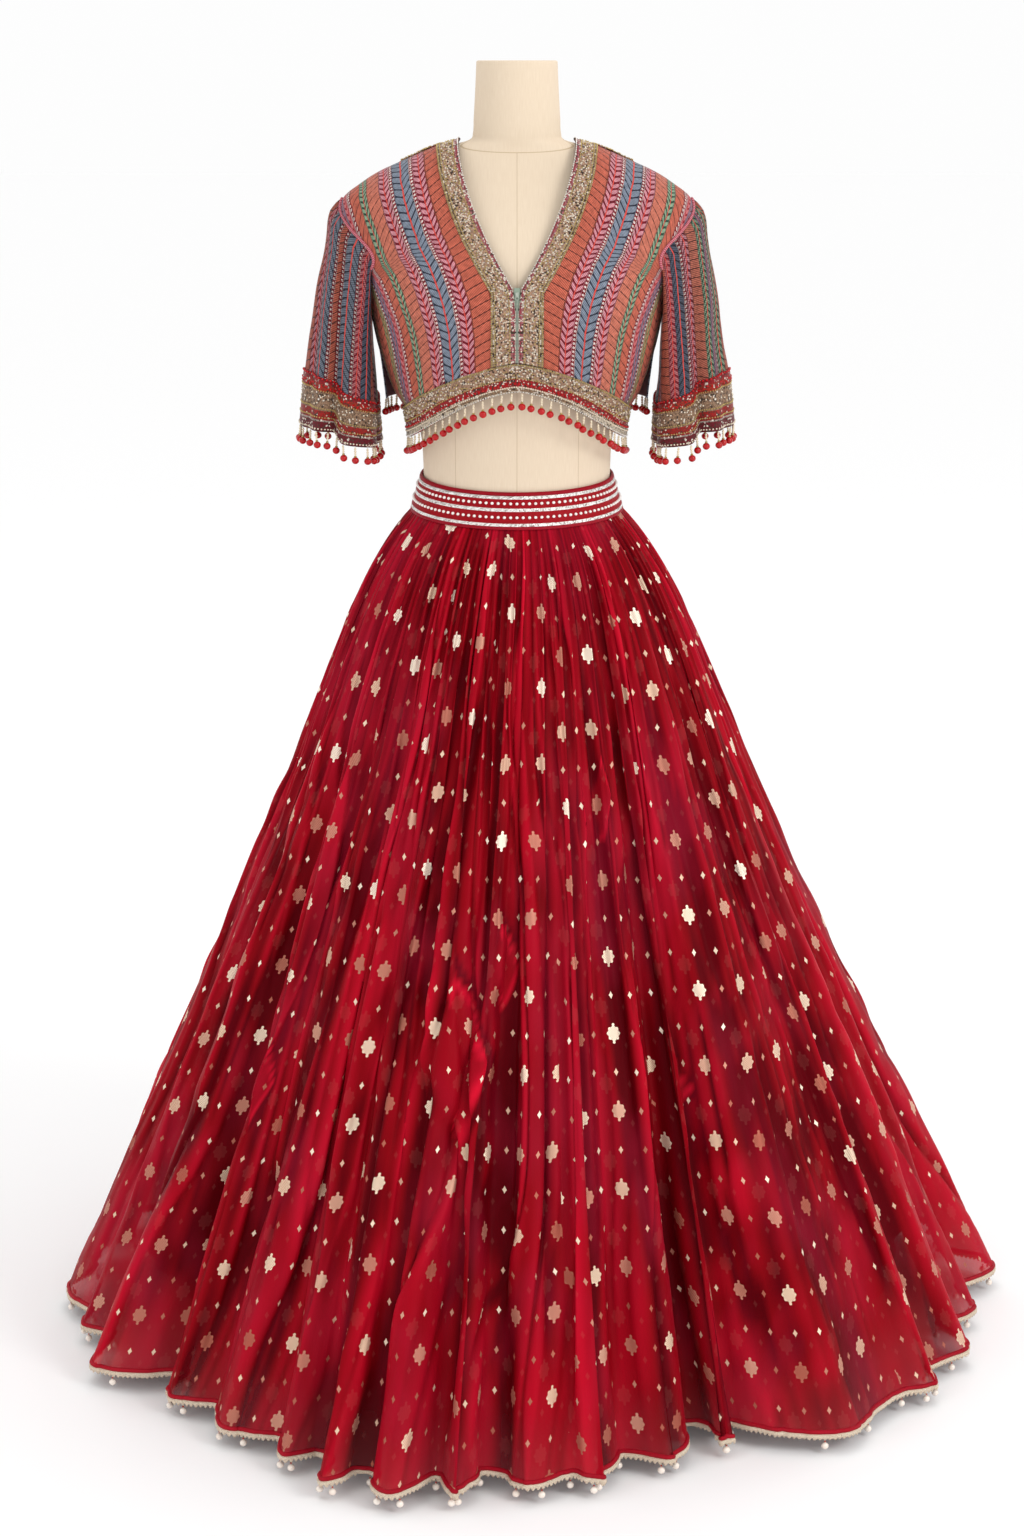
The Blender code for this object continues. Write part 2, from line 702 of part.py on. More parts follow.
def fringe(name, edge, middle, count, closed=False):
    """A strip with a strand and bead for each of count steps, hung below an edge line."""
    line = even_line(edge + edge[:1] if closed else edge, count)
    if closed:
        line = line[:-1]
    strip = [[], []], [[], []]
    for point in line:
        aside = Vector((point.x - middle.x, point.y - middle.y, 0.0)).normalized()
        for depth, row in ((FRINGE_DROP, 0), (FRINGE_DROP + FRINGE_STRIP, 1)):
            below = point - Vector((0, 0, depth))
            strip[0][row].append(below)
            strip[1][row].append(below - aside * TRIM_WALL)
    made = wall(name, strip[0], strip[1], "beads", closed)
    hang_beads(made, count, bead_profile(2 * MM, FRINGE_STRAND, FRINGE_BEAD))


def zip_strip():
    """The closed zip between the two fronts, from the hem border to the V."""
    surface = bodice(FRONT_SECTIONS)
    half = CENTRE_EDGE - 2 * SEAM_GAP
    low = front_hem_height(0) + 36 * MM
    heights = spread(low, V_BOTTOM_HEIGHT, 4)
    places = [[(side * angle_at(half, z), z) for side in (-1, 1)] for z in heights]
    outer, inner = skins(surface, places, -TRIM_WALL, TRIM_WALL, -1)
    wall("blouse_zip", outer, inner, "zip")


def form_torso():
    heights = [row[0] * MM for row in FORM_SECTIONS]
    body = bmesh.new()
    rings = []
    for height in heights:
        sizes = [section(FORM_SECTIONS, column, height) for column in (1, 2, 3)]
        ring = []
        for i in range(FORM_SIDES):
            point = oval(2 * math.pi * i / FORM_SIDES, *sizes)
            ring.append(body.verts.new((point.x, point.y, height)))
        rings.append(ring)
        edges = [body.edges.new((a, b)) for a, b in zip(ring, ring[1:] + ring[:1])]
        if len(rings) > 1:
            bmesh.ops.bridge_loops(body, edges=last_edges + edges)
        last_edges = edges
    for ring in (rings[0], rings[-1]):
        body.faces.new(ring)
    bmesh.ops.recalc_face_normals(body, faces=body.faces)
    mesh = bpy.data.meshes.new("form_torso")
    body.to_mesh(mesh)
    body.free()
    add_object("form_torso", mesh, "linen")


def turned(name, profile, finish, steps=24):
    """A turned solid from (radius, height) points that run down its outer side."""
    mesh = bpy.data.meshes.new(name)
    points = [(radius, 0.0, height) for radius, height in profile]
    mesh.from_pydata(points, [(i, i + 1) for i in range(len(points) - 1)], [])
    made = add_object(name, mesh, finish)
    screw = made.modifiers.new("turn", "SCREW")
    screw.steps = screw.render_steps = steps
    screw.use_merge_vertices = True
    screw.merge_threshold = 0.00001
    screw.use_smooth_shade = True


def stand():
    torso_bottom = FORM_SECTIONS[0][0] * MM
    turned("form_pole", (
        (0, torso_bottom - SEAM_GAP), (POLE_RADIUS, torso_bottom - SEAM_GAP),
        (POLE_RADIUS, POLE_SEAT + SEAM_GAP), (0, POLE_SEAT + SEAM_GAP),
    ), "steel", 16)
    bore = POLE_RADIUS + SEAM_GAP
    turned("form_foot", (
        (0, POLE_SEAT), (bore, POLE_SEAT), (bore, SOCKET_HEIGHT), (SOCKET_RADIUS, SOCKET_HEIGHT),
        (SOCKET_RADIUS, FOOT_THICKNESS), (FOOT_RADIUS, FOOT_THICKNESS), (FOOT_RADIUS, 0), (0, 0),
    ), "steel", 24)


PARTS = start_empty()
form_torso()
stand()
skirt_panels()
waistband()
hem_lace()
middle, cuff_middle = Vector((0, 0, 0)), Vector((CUFF_MIDDLE_X, 0, 0))
fringe("blouse_fringe_front", blouse_front(), middle, FRONT_BEADS)
fringe("blouse_fringe_back", blouse_back(), middle, BACK_BEADS)
cuff_edge = sleeves()
fringe("blouse_fringe_cuff_left", cuff_edge, cuff_middle, CUFF_BEADS, closed=True)
fringe("blouse_fringe_cuff_right", mirrored([cuff_edge])[0], -cuff_middle, CUFF_BEADS, closed=True)
zip_strip()
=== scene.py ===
# Looks of a festive skirt and short blouse set on a linen dress form.
# X is the wearer's left, -Y is the front, Z is up. Sizes are in metres unless a name says mm.

import math

import bmesh
import bpy
import numpy as np
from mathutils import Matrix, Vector


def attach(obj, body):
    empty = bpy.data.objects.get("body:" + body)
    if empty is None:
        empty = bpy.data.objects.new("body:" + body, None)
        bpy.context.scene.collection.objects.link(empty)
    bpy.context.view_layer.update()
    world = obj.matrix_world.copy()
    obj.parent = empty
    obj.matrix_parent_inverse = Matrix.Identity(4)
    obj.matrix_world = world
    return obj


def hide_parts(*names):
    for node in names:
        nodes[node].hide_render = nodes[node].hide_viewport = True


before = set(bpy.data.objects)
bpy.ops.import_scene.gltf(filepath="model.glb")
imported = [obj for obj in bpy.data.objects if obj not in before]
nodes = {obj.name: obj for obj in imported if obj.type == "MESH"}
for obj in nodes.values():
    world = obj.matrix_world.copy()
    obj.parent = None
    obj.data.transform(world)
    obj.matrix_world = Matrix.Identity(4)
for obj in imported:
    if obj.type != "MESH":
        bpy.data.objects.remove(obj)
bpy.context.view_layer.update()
mm = 0.001
turn = 2 * math.pi
upward = np.array([0, 0, 1.0])
mirror = np.array([-1.0, 1, 1])  # from the wearer's left to the right
bpy.ops.object.select_all(action="DESELECT")
print("frame loaded,", len(nodes), "nodes")


# Small tools

def hexColour(code):
    parts = [int(code[i:i + 2], 16) / 255 for i in (0, 2, 4)]
    return tuple(p / 12.92 if p <= 0.04045 else ((p + 0.055) / 1.055) ** 2.4 for p in parts) + (1.0,)


def addNode(tree, kind, *inputs, **settings):
    # kind is a node's name, then its operation if it has one
    kind, _, operation = kind.partition(" ")
    made = tree.nodes.new("ShaderNode" + kind)
    if operation:
        made.operation = operation
    for key, value in settings.items():
        setattr(made, key, value)
    for i, value in enumerate(inputs):
        if isinstance(value, bpy.types.NodeSocket):
            tree.links.new(value, made.inputs[i])
        elif isinstance(value, str):
            made.inputs[i].default_value = hexColour(value)
        elif value is not None:
            made.inputs[i].default_value = value
    return made.outputs[0]


def setRamp(socket, stops, mode="LINEAR"):
    # stops are (place, hex colour) or (place, (r, g, b)) from left to right
    ramp = socket.node.color_ramp
    ramp.interpolation = mode
    while len(ramp.elements) < len(stops):
        ramp.elements.new(1.0)
    for element, (place, colour) in zip(ramp.elements, sorted(stops, key=lambda s: s[0])):
        element.position = place
        element.color = hexColour(colour) if isinstance(colour, str) else (*colour, 1.0)


def clothMap(tree):
    # the place on the flat cloth in metres, whole and as across and down
    uv = addNode(tree, "UVMap", uv_map="cloth")
    apart = addNode(tree, "SeparateXYZ", uv)
    return uv, apart.node.outputs[0], apart.node.outputs[1]


def objectPlace(tree):
    return addNode(tree, "TexCoord").node.outputs["Object"]


def newMaterial(name, colour, **sockets):
    made = bpy.data.materials.new(name)
    made.use_nodes = True
    shader = made.node_tree.nodes["Principled BSDF"]
    shader.inputs["Base Color"].default_value = hexColour(colour)
    made.diffuse_color = hexColour(colour)
    for key, value in sockets.items():
        shader.inputs[key.replace("_", " ")].default_value = value
    return made, made.node_tree, shader


def wire(tree, shader, **sockets):
    for key, socket in sockets.items():
        tree.links.new(socket, shader.inputs[key.replace("_", " ")])


def twoToneMaterial(name, colour, tones, kind, *inputs, bump=None, bands=None, **sockets):
    # a texture runs between two tones, and stands in relief where bump gives its strength and depth;
    # bands along X or Y follow the cloth's threads
    made, tree, shader = newMaterial(name, colour, **sockets)
    place = clothMap(tree)[0] if bands in ("X", "Y") else objectPlace(tree)
    texture = addNode(tree, kind, place, *inputs, **({"bands_direction": bands} if bands else {}))
    wire(tree, shader, Base_Color=addNode(tree, "MixRGB", texture, *tones))
    if bump:
        wire(tree, shader, Normal=addNode(tree, "Bump", *bump, None, texture))
    return made


def newObject(name, data, materials=()):
    for material in materials:
        data.materials.append(material)
    made = bpy.data.objects.new(name, data)
    bpy.context.scene.collection.objects.link(made)
    return made


def activate(made):
    bpy.ops.object.select_all(action="DESELECT")
    made.select_set(True)
    bpy.context.view_layer.objects.active = made


def applyModifier(made, kind, **settings):
    activate(made)
    modifier = made.modifiers.new(kind.lower(), kind)
    for key, value in settings.items():
        setattr(modifier, key, value)
    bpy.ops.object.modifier_apply(modifier=modifier.name)


def finishPiece(made, slot, *replaced):
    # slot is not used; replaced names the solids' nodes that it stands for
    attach(made, "root")
    if replaced:
        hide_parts(*replaced)


def unit(vectors):
    return vectors / np.linalg.norm(vectors, axis=-1, keepdims=True)


def pairs(a, b):
    return np.stack(np.broadcast_arrays(a, b), axis=-1)


def ringed(points):
    # the first column again after the last, to close a ring
    return np.concatenate([points, points[:, :1]], axis=1)


def cornerUv(uv):
    # uv of the grid's points, as one value for each corner of each face
    return np.stack([uv[:-1, :-1], uv[:-1, 1:], uv[1:, 1:], uv[1:, :-1]], axis=2)


def gridPiece(name, points, corners, materials, closed=False, inside=None):
    # a surface through rows of points, turned to face away from the points inside it
    rows, columns = points.shape[:2]
    wide = columns if closed else columns - 1
    index = np.arange(rows * columns).reshape(rows, columns)
    after = np.roll(index, -1, axis=1)
    quads = np.stack([index[:-1, :wide], after[:-1, :wide], after[1:, :wide], index[1:, :wide]], axis=2)
    level = inside is None or np.ndim(inside) == 1
    inside = np.zeros(3) if inside is None else inside
    if np.ndim(inside) == 3 and len(inside) == rows:
        inside = inside[:-1]
    flat = points.reshape(-1, 3)
    across = flat[quads[..., 1]] - flat[quads[..., 0]]
    down = flat[quads[..., 3]] - flat[quads[..., 0]]
    away = points[:-1, :wide] - inside
    if level:
        away[..., 2] = 0.0
    if np.sum(np.cross(across, down) * away) < 0:
        quads = quads[..., ::-1]
        corners = corners[..., ::-1, :]
    mesh = bpy.data.meshes.new(name)
    mesh.from_pydata(flat.tolist(), [], quads.reshape(-1, 4).tolist())
    layer = mesh.uv_layers.new(name="cloth")
    layer.data.foreach_set("uv", np.ascontiguousarray(corners, dtype=np.float32).ravel())
    mesh.shade_smooth()
    return newObject(name, mesh, materials)


def lengths(points, axis):
    # running length along an axis of a grid of points
    steps = np.linalg.norm(np.diff(points, axis=axis), axis=-1)
    start = np.zeros_like(np.take(steps, [0], axis=axis))
    return np.concatenate([start, np.cumsum(steps, axis=axis)], axis=axis)


def ringUv(points):
    # cloth map of a closed surface, from its lengths round and along
    closedPoints = ringed(points)
    return cornerUv(pairs(lengths(closedPoints, 1), lengths(closedPoints, 0)))


def normals(points, closed=False):
    if closed:
        wide = np.concatenate([points[:, -1:], points, points[:, :1]], axis=1)
        across = wide[:, 2:] - wide[:, :-2]
    else:
        across = np.gradient(points, axis=1)
    along = np.gradient(points, axis=0)
    made = np.cross(along, across)
    return made / np.maximum(np.linalg.norm(made, axis=-1, keepdims=True), 1e-9)


def softNoise(x, y, seed, wrap=64):
    # smooth noise from -1 to 1; it repeats after wrap steps of x
    table = np.random.RandomState(seed).uniform(-1, 1, (wrap, 64))
    xi, yi = np.floor(x).astype(int), np.floor(y).astype(int)
    fx, fy = x - xi, y - yi
    fx, fy = (f * f * f * (f * (f * 6 - 15) + 10) for f in (fx, fy))
    xa, xb, ya, yb = xi % wrap, (xi + 1) % wrap, yi % 64, (yi + 1) % 64
    low = table[xa, ya] * (1 - fx) + table[xb, ya] * fx
    high = table[xa, yb] * (1 - fx) + table[xb, yb] * fx
    return low * (1 - fy) + high * fy


def takeMesh(made):
    # the points and faces of a finished model, which is then removed
    points = np.array([tuple(v.co) for v in made.data.vertices])
    faces = [tuple(p.vertices) for p in made.data.polygons]
    bpy.data.objects.remove(made)
    return points, faces


def copyMany(name, model, places, materials, axes=None):
    # one mesh with a copy of the model at each place; axes are its X, Y and Z there
    # a model is its points, its faces and, where it has more than one material, each face's number in materials
    points, faces, looks = model if len(model) == 3 else (*model, [0] * len(model[1]))
    places = np.asarray(places)
    if axes is None:
        moved = places[:, None, :] + points[None]
    else:
        moved = places[:, None, :] + np.einsum("pk,nkj->npj", points, np.asarray(axes))
    mesh = bpy.data.meshes.new(name)
    count = len(points)
    allFaces = [tuple(i + n * count for i in face) for n in range(len(places)) for face in faces]
    mesh.from_pydata(moved.reshape(-1, 3).tolist(), [], allFaces)
    made = newObject(name, mesh, materials)
    mesh.polygons.foreach_set("material_index", looks * len(places))
    mesh.shade_smooth()
    return made


def section(rows, column, height):
    # a table's column at each height in mm, on a smooth curve through its rows
    table = np.asarray(rows, dtype=float)
    at, values = table[:, 0], table[:, column]
    slopes = np.empty(len(at))
    slopes[1:-1] = (values[2:] - values[:-2]) / (at[2:] - at[:-2])
    slopes[0] = (values[1] - values[0]) / (at[1] - at[0])
    slopes[-1] = (values[-1] - values[-2]) / (at[-1] - at[-2])
    height = np.asarray(height, dtype=float)
    k = np.clip(np.searchsorted(at, height, side="right") - 1, 0, len(at) - 2)
    span = at[k + 1] - at[k]
    p = (height - at[k]) / span
    return (
        (2 * p ** 3 - 3 * p ** 2 + 1) * values[k] + (p ** 3 - 2 * p ** 2 + p) * span * slopes[k]
        + (3 * p ** 2 - 2 * p ** 3) * values[k + 1] + (p ** 3 - p ** 2) * span * slopes[k + 1]
    )


def signedPower(value, power):
    return np.sign(value) * np.abs(value) ** power


def oval(angle, half, front, back, fullness=1.0):
    # level points of an oval, as x and y
    depth = np.where(np.cos(angle) > 0, front, back)
    return half * signedPower(np.sin(angle), fullness), -depth * signedPower(np.cos(angle), fullness)


# Camera, light and floor

studio = {
    "lens": 71.9, "from": (-0.006, -3.798, 1.60), "pitchDeg": 13.08, "skyStrength": 0.985, "floorWhite": "F8F8F8",
    "nearFloor": 1.2, "farFloor": 4.5,
}

camera = bpy.data.cameras.new("camera")
camera.lens = studio["lens"]
camera.sensor_width = 36
camera.sensor_fit = "AUTO"
camera.clip_end = 60
cameraObject = newObject("camera", camera)
cameraObject.location = studio["from"]
cameraObject.rotation_euler = (math.radians(90 - studio["pitchDeg"]), 0, 0)
bpy.context.scene.camera = cameraObject
bpy.context.scene.view_settings.view_transform = "Standard"

world = bpy.data.worlds.new("soft studio")
world.use_nodes = True
sky = world.node_tree.nodes["Background"]
sky.inputs["Color"].default_value = (1, 1, 1, 1)
sky.inputs["Strength"].default_value = studio["skyStrength"]
bpy.context.scene.world = world

lights = (
    # name, place, aim, size, power in W
    ("key", (3.2, -2.9, 3.2), (0, 0, 0.9), 2.0, 70),
    ("fill", (-2.8, -3.0, 2.0), (0, 0, 0.9), 2.6, 8),
    ("top", (0.3, 1.2, 4.2), (0, 0, 0.8), 3.0, 20),
)
for name, place, aim, size, power in lights:
    lamp = bpy.data.lights.new(name, "AREA")
    lamp.shape = "DISK"
    lamp.size = size
    lamp.energy = power
    lampObject = newObject(name, lamp)
    lampObject.location = place
    lampObject.rotation_euler = (Vector(aim) - Vector(place)).to_track_quat("-Z", "Y").to_euler()

bpy.ops.mesh.primitive_plane_add(size=80, location=(0, 0, 0))
floor = bpy.context.active_object
floor.name = "floor"
# matt white studio floor: even, without gloss; as painted light it is a touch paler far off, so that the far floor,
# which the lamps light less, reads as white as the near floor
paper, tree, shader = newMaterial(
    "floor paint, matt white", studio["floorWhite"], Roughness=0.9, Specular_IOR_Level=0.1)
away = addNode(tree, "VectorMath LENGTH", objectPlace(tree)).node.outputs["Value"]
farLightShare = addNode(tree, "MapRange", away, studio["nearFloor"], studio["farFloor"])
wire(tree, shader, Base_Color=addNode(tree, "MixRGB", farLightShare, studio["floorWhite"], "FFFFFF"))
floor.data.materials.append(paper)
print("studio ready")


# Skirt surface: the same named sizes as the solid frame

skirt = {
    "hemHeight": 30 * mm, "hemRadius": 600 * mm, "hemShiftX": 10 * mm, "hipFullness": 0.9, "hipFall": 0.12,
    "gatherDepth": 4 * mm, "gathersPerFold": 3, "firstValleyDeg": -94.0,
    "topOval": (130.5 * mm, 107.5 * mm, 104.5 * mm),
    "columnsPerFold": 30, "rows": 112, "liningColumnsPerFold": 12, "liningRows": 32,
    "liningEnd": 0.94, "liningInsetWaist": 1.6 * mm, "liningInsetGathers": 5 * mm, "liningInsetHem": 55 * mm,
    "liningFoldShare": 0.35,
}
waist = {
    "topHeight": 1094 * mm, "tilt": 12 * mm, "depth": 43 * mm, "seamGap": 0.3 * mm,
    "topOval": (118.9 * mm, 93.5 * mm, 91.3 * mm), "bottomOval": (132 * mm, 109 * mm, 106 * mm),
}
# width in degrees, crest radius in mm, radius in mm of the valley before it
folds = np.array((
    (15.0, 604, 575), (8.5, 588, 570), (16.5, 602, 552),
    (10.5, 575, 515), (12.5, 585, 540), (6.3, 604, 562), (6.7, 640, 580), (8.1, 648, 606),
    (5.1, 634, 592), (10.1, 606, 574), (6.7, 600, 578), (11.5, 572, 538), (5.0, 550, 486),
    (23.5, 606, 505), (8.0, 604, 582), (13.6, 602, 576),
    (13.1, 592, 552), (14.3, 628, 570), (13.0, 606, 574), (10.0, 598, 560),
    (12.0, 610, 566), (9.0, 590, 556), (14.0, 616, 548), (11.0, 602, 566),
    (12.0, 608, 570), (13.0, 614, 552), (10.0, 594, 562), (12.0, 612, 566),
    (14.0, 604, 548), (11.0, 596, 560), (13.0, 612, 564), (11.0, 600, 556),
))
foldCount = len(folds)
foldStarts = skirt["firstValleyDeg"] + np.concatenate([[0], np.cumsum(folds[:, 0])])


def skirtSurface(place, fall, foldShare=1.0, gather=None):
    gather = skirt["gatherDepth"] if gather is None else gather
    place, fall = np.broadcast_arrays(np.asarray(place, float), np.asarray(fall, float))
    whole = np.floor(place).astype(int)
    part = place - whole
    k = whole % foldCount
    turns = whole // foldCount
    width, crest, valley = folds[k, 0], folds[k, 1], folds[k, 2]
    nextValley = folds[(k + 1) % foldCount, 2]
    hemDeg = foldStarts[k] + width * part + 360 * turns
    evenDeg = skirt["firstValleyDeg"] + 360 * place / foldCount
    deg = hemDeg + (evenDeg - hemDeg) * 0.5 * (1 - fall) ** 2
    angle = np.radians(deg)
    floorRadius = (valley + (nextValley - valley) * part) * mm
    swell = np.maximum(0, np.sin(math.pi * part)) ** 1.2
    hemRadius = floorRadius + (crest * mm - floorRadius) * swell * foldShare
    down = np.maximum(0, fall)
    grown = down * (1 + skirt["hipFullness"] * np.exp(-down / skirt["hipFall"]))
    half, front, back = (top + (skirt["hemRadius"] - top) * grown for top in skirt["topOval"])
    x, y = oval(angle, half, front, back)
    share = 1 + (hemRadius / skirt["hemRadius"] - 1) * down ** 0.7
    x, y = x * share, y * share
    fade = np.exp(-fall / 0.3) * (1 - np.exp(-down / 0.03))
    crimp = -gather * np.cos(skirt["gathersPerFold"] * turn * part) * fade
    away = np.hypot(x, y)
    x, y = x * (1 + crimp / away), y * (1 + crimp / away)
    top = waist["topHeight"] - waist["depth"] - waist["seamGap"] - waist["tilt"] * np.cos(angle)
    return np.stack([x + skirt["hemShiftX"] * fall, y, top + (skirt["hemHeight"] - top) * fall], axis=-1)


# Creases laid on the front: place at the top and at the hem, where the crease starts and ends
# down the skirt, its depth in mm (a ridge where negative) and its half width in places round the hem
creases = (
    (7.2, 6.1, 0.06, 1.0, 15, 0.12), (7.9, 7.0, 0.10, 1.0, 17, 0.11), (8.5, 8.1, 0.04, 0.95, 13, 0.10),
    (9.2, 9.15, 0.05, 1.0, 17, 0.12), (9.9, 9.8, 0.12, 0.9, 12, 0.09), (10.5, 10.7, 0.05, 1.0, 15, 0.11),
    (11.1, 11.6, 0.08, 1.0, 15, 0.12), (11.8, 12.5, 0.05, 1.0, 12, 0.12), (6.3, 4.6, 0.08, 1.0, 12, 0.14),
    (5.6, 3.6, 0.15, 1.0, 11, 0.15), (4.8, 2.6, 0.12, 0.95, 10, 0.14), (12.4, 13.2, 0.10, 0.95, 11, 0.12),
    (13.1, 13.7, 0.12, 1.0, 10, 0.14), (13.8, 14.4, 0.10, 0.9, 9, 0.12), (8.0, 6.55, 0.42, 0.9, -9, 0.14),
    (12.2, 11.2, 0.42, 0.92, -9, 0.13), (10.2, 10.25, 0.35, 1.0, -8, 0.10), (3.9, 2.0, 0.2, 0.9, 9, 0.15),
    (14.6, 15.3, 0.15, 1.0, 9, 0.14), (8.9, 8.6, 0.5, 1.0, 9, 0.08), (11.4, 12.1, 0.45, 1.0, 9, 0.08),
)

# Pouches where cloth caught between two folds swings out: place, share of the fall, half width in places,
# half height as a share of the fall, lean, and depth in mm
pouches = (
    (7.9, 0.575, 0.85, 0.092, 0.25, 11), (12.9, 0.635, 0.14, 0.050, -0.2, 6), (8.95, 0.475, 0.26, 0.048, 0.2, 6),
    (11.4, 0.300, 0.22, 0.050, -0.3, 4), (3.5, 0.640, 0.22, 0.050, 0.2, 5),
    (19.4, 0.560, 0.40, 0.060, 0.2, 6), (22.8, 0.660, 0.30, 0.055, -0.2, 6), (28.6, 0.600, 0.40, 0.060, 0.2, 6),
)


def evenPlace(place):
    # the place counted in even steps round the hem, so that small folds are no wider on a wide fold
    whole = np.floor(place).astype(int)
    k, turns = whole % foldCount, whole // foldCount
    around = foldStarts[k] - foldStarts[0] + folds[k, 0] * (place - whole)
    return turns * foldCount + around * foldCount / 360


def lappedFolds(place, fall, perPlace, edge, seed, drift):
    # folds laid over each other: each rises slowly to an edge and drops back, to one side or the other
    count = foldCount * perPlace
    chance = np.random.RandomState(seed)
    side, height = chance.choice((-1.0, 1.0), count), chance.uniform(0.25, 1.0, count)
    phase = place * perPlace + drift * softNoise(place * 0.375, fall * 1.7, seed + 1, 12)
    phase = phase + 0.3 * drift * softNoise(place, fall * 4.6 + 7, seed + 2, 32)
    whole = np.floor(phase).astype(int)
    part = phase - whole
    k = whole % count
    part = np.where(side[k] > 0, part, 1 - part)
    rise = np.clip(part / (1 - edge), 0, 1)
    rise = rise ** 1.3 * (1 - 0.25 * rise ** 6)
    dropped = np.clip((1 - part) / edge, 0, 1)
    dropped = dropped * dropped * (3 - 2 * dropped)
    swell = 0.55 + 0.45 * softNoise(k * 7.0 + 0.5 + 0 * place, fall * 2.6 + k * 1.7, seed + 3, 64)
    made = rise * dropped * height[k] * np.clip(swell, 0, 1)
    return made, made * side[k]


def skirtDrape(place, fall):
    # how far the cloth stands off the plain surface, how far it is drawn aside, and from 0 to 1 how high it is
    # on a fold, which sets its tone as painted light and shade: lighter on the tops, darker in hollows and creases
    down = np.clip(fall, 0, 1)
    opened = 1 - np.exp(-down / 0.04)
    even = evenPlace(place)
    broad, broadAside = lappedFolds(even, fall, 2, 0.13, 101, 1.35)
    narrow, narrowAside = lappedFolds(even, fall, 5, 0.24, 131, 2.0)
    low = np.clip((fall - 0.70) / 0.30, 0, 1)
    settled = 1 - 0.6 * low * low * (3 - 2 * low)  # the folds open out towards the hem
    made = ((5.0 + 23.0 * down ** 0.8) * broad + (2.4 + 8.5 * down ** 0.8) * narrow) * settled
    aside = ((2.0 + 13.0 * down) * broadAside + (1.0 + 3.0 * down) * narrowAside) * settled
    # painted light and shade: the tone is lighter high on a fold and darker low in it
    high = 0.60 * broad / 0.8 + 0.36 * narrow / 0.7
    high = 0.5 + (high - 0.5) * (0.45 + 0.55 * settled)
    tight = np.exp(-fall / 0.16) * (1 - np.exp(-down / 0.02))
    gathers = np.sin(turn * (place * 6 + 1.2 * softNoise(place, fall * 3, 16, 32)))
    made += 1.6 * tight * gathers
    slant = softNoise(place * 4 + fall * 12, fall * 17 - place * 0.5, 17, 128)
    rumple = np.clip(softNoise(place * 0.6 + 3, fall * 3.0, 18, 64) + 0.35, 0, 1)
    rumple = rumple * np.clip((down - 0.08) * 4, 0, 1)
    made += 3.2 * slant * rumple + 0.7 * softNoise(place * 13, fall * 9, 15, 416) * opened
    # rumples and gathers paint the tone lighter on their tops and darker between them, as painted light and shade
    high = high + 0.12 * slant * rumple + 0.10 * tight * gathers
    for topPlace, hemPlace, start, end, depth, width in creases:
        line = topPlace + (hemPlace - topPlace) * down ** 0.9
        away = (place - line) / (width * (0.6 + 0.6 * down))
        along = np.clip((fall - start) / 0.12, 0, 1)
        if end < 1:
            along = along * np.clip((end + 0.02 - fall) / 0.1, 0, 1)
        crease = np.exp(-(away ** 2)) * along * (0.35 + 0.65 * down)
        made -= depth * crease
        # painted shade in a crease, painted light on a ridge
        high = high - 0.028 * depth * crease
    for atPlace, atFall, wide, tall, lean, depth in pouches:
        drop = (fall - atFall) / tall
        away = (place - atPlace) / wide - lean * drop
        near = np.abs(away) + np.abs(drop)
        inside = np.clip(1 - near, 0, 1)
        made += depth * np.minimum(1, inside * 3) ** 0.7
        # painted highlight along the pouch's rim, painted shade beyond its far edge, and its inside painted an even
        # darker tone
        rim = np.exp(-(((near - 0.92) / 0.09) ** 2)) * (away > -0.2)
        shade = np.exp(-(((near - 1.12) / 0.10) ** 2)) * (away > 0)
        flat = np.minimum(1, inside * 4)
        high = high * (1 - 0.75 * flat) + 0.75 * flat * 0.24 + 0.5 * rim - 0.4 * shade
    return (made * opened - 5.5 * down ** 0.8 - 1.5 * opened) * mm, aside * opened * mm, np.clip(high, 0, 1)


def drapedSkirt(place, fall):
    base = skirtSurface(place, fall)
    out, sideways, high = skirtDrape(place, fall)
    facing = normals(base)
    level = base.copy()
    level[..., 2] = 0
    facing = facing * np.sign(np.sum(facing * level, axis=-1, keepdims=True))
    aside = unit(np.cross(upward, facing))
    made = base + facing * out[..., None] + aside * sideways[..., None]
    made[..., 2] = base[..., 2] + 0.5 * (made[..., 2] - base[..., 2])
    return made, high


def liningSurface(place, fall):
    point = skirtSurface(place, fall, skirt["liningFoldShare"], 0.0)
    away = np.hypot(point[..., 0], point[..., 1])
    inset = skirt["liningInsetWaist"] + skirt["liningInsetHem"] * fall
    inset = inset + skirt["liningInsetGathers"] * (1 - np.exp(-fall / 0.03))
    inset = inset - 1.5 * mm * softNoise(place * 2, fall * 2, 31, 64) * np.clip(fall * 5, 0, 1)
    point[..., :2] *= (1 - inset / away)[..., None]
    return point


# Foil motifs woven into the organza, on a plain half-drop layout of ovals and small diamonds
motif = {
    "stepAcross": 30 * mm, "stepDown": 46 * mm,  # large ovals stand on every second place both ways
    "halfWidth": 8.7 * mm, "halfHeight": 9.8 * mm, "knobAt": 10.6 * mm, "knob": 1.7 * mm, "dotStep": 2.4 * mm,
    "diamondWidth": 2.9 * mm, "diamondHeight": 4.8 * mm, "behindAcross": 0.0137, "behindDown": 0.0315,
}


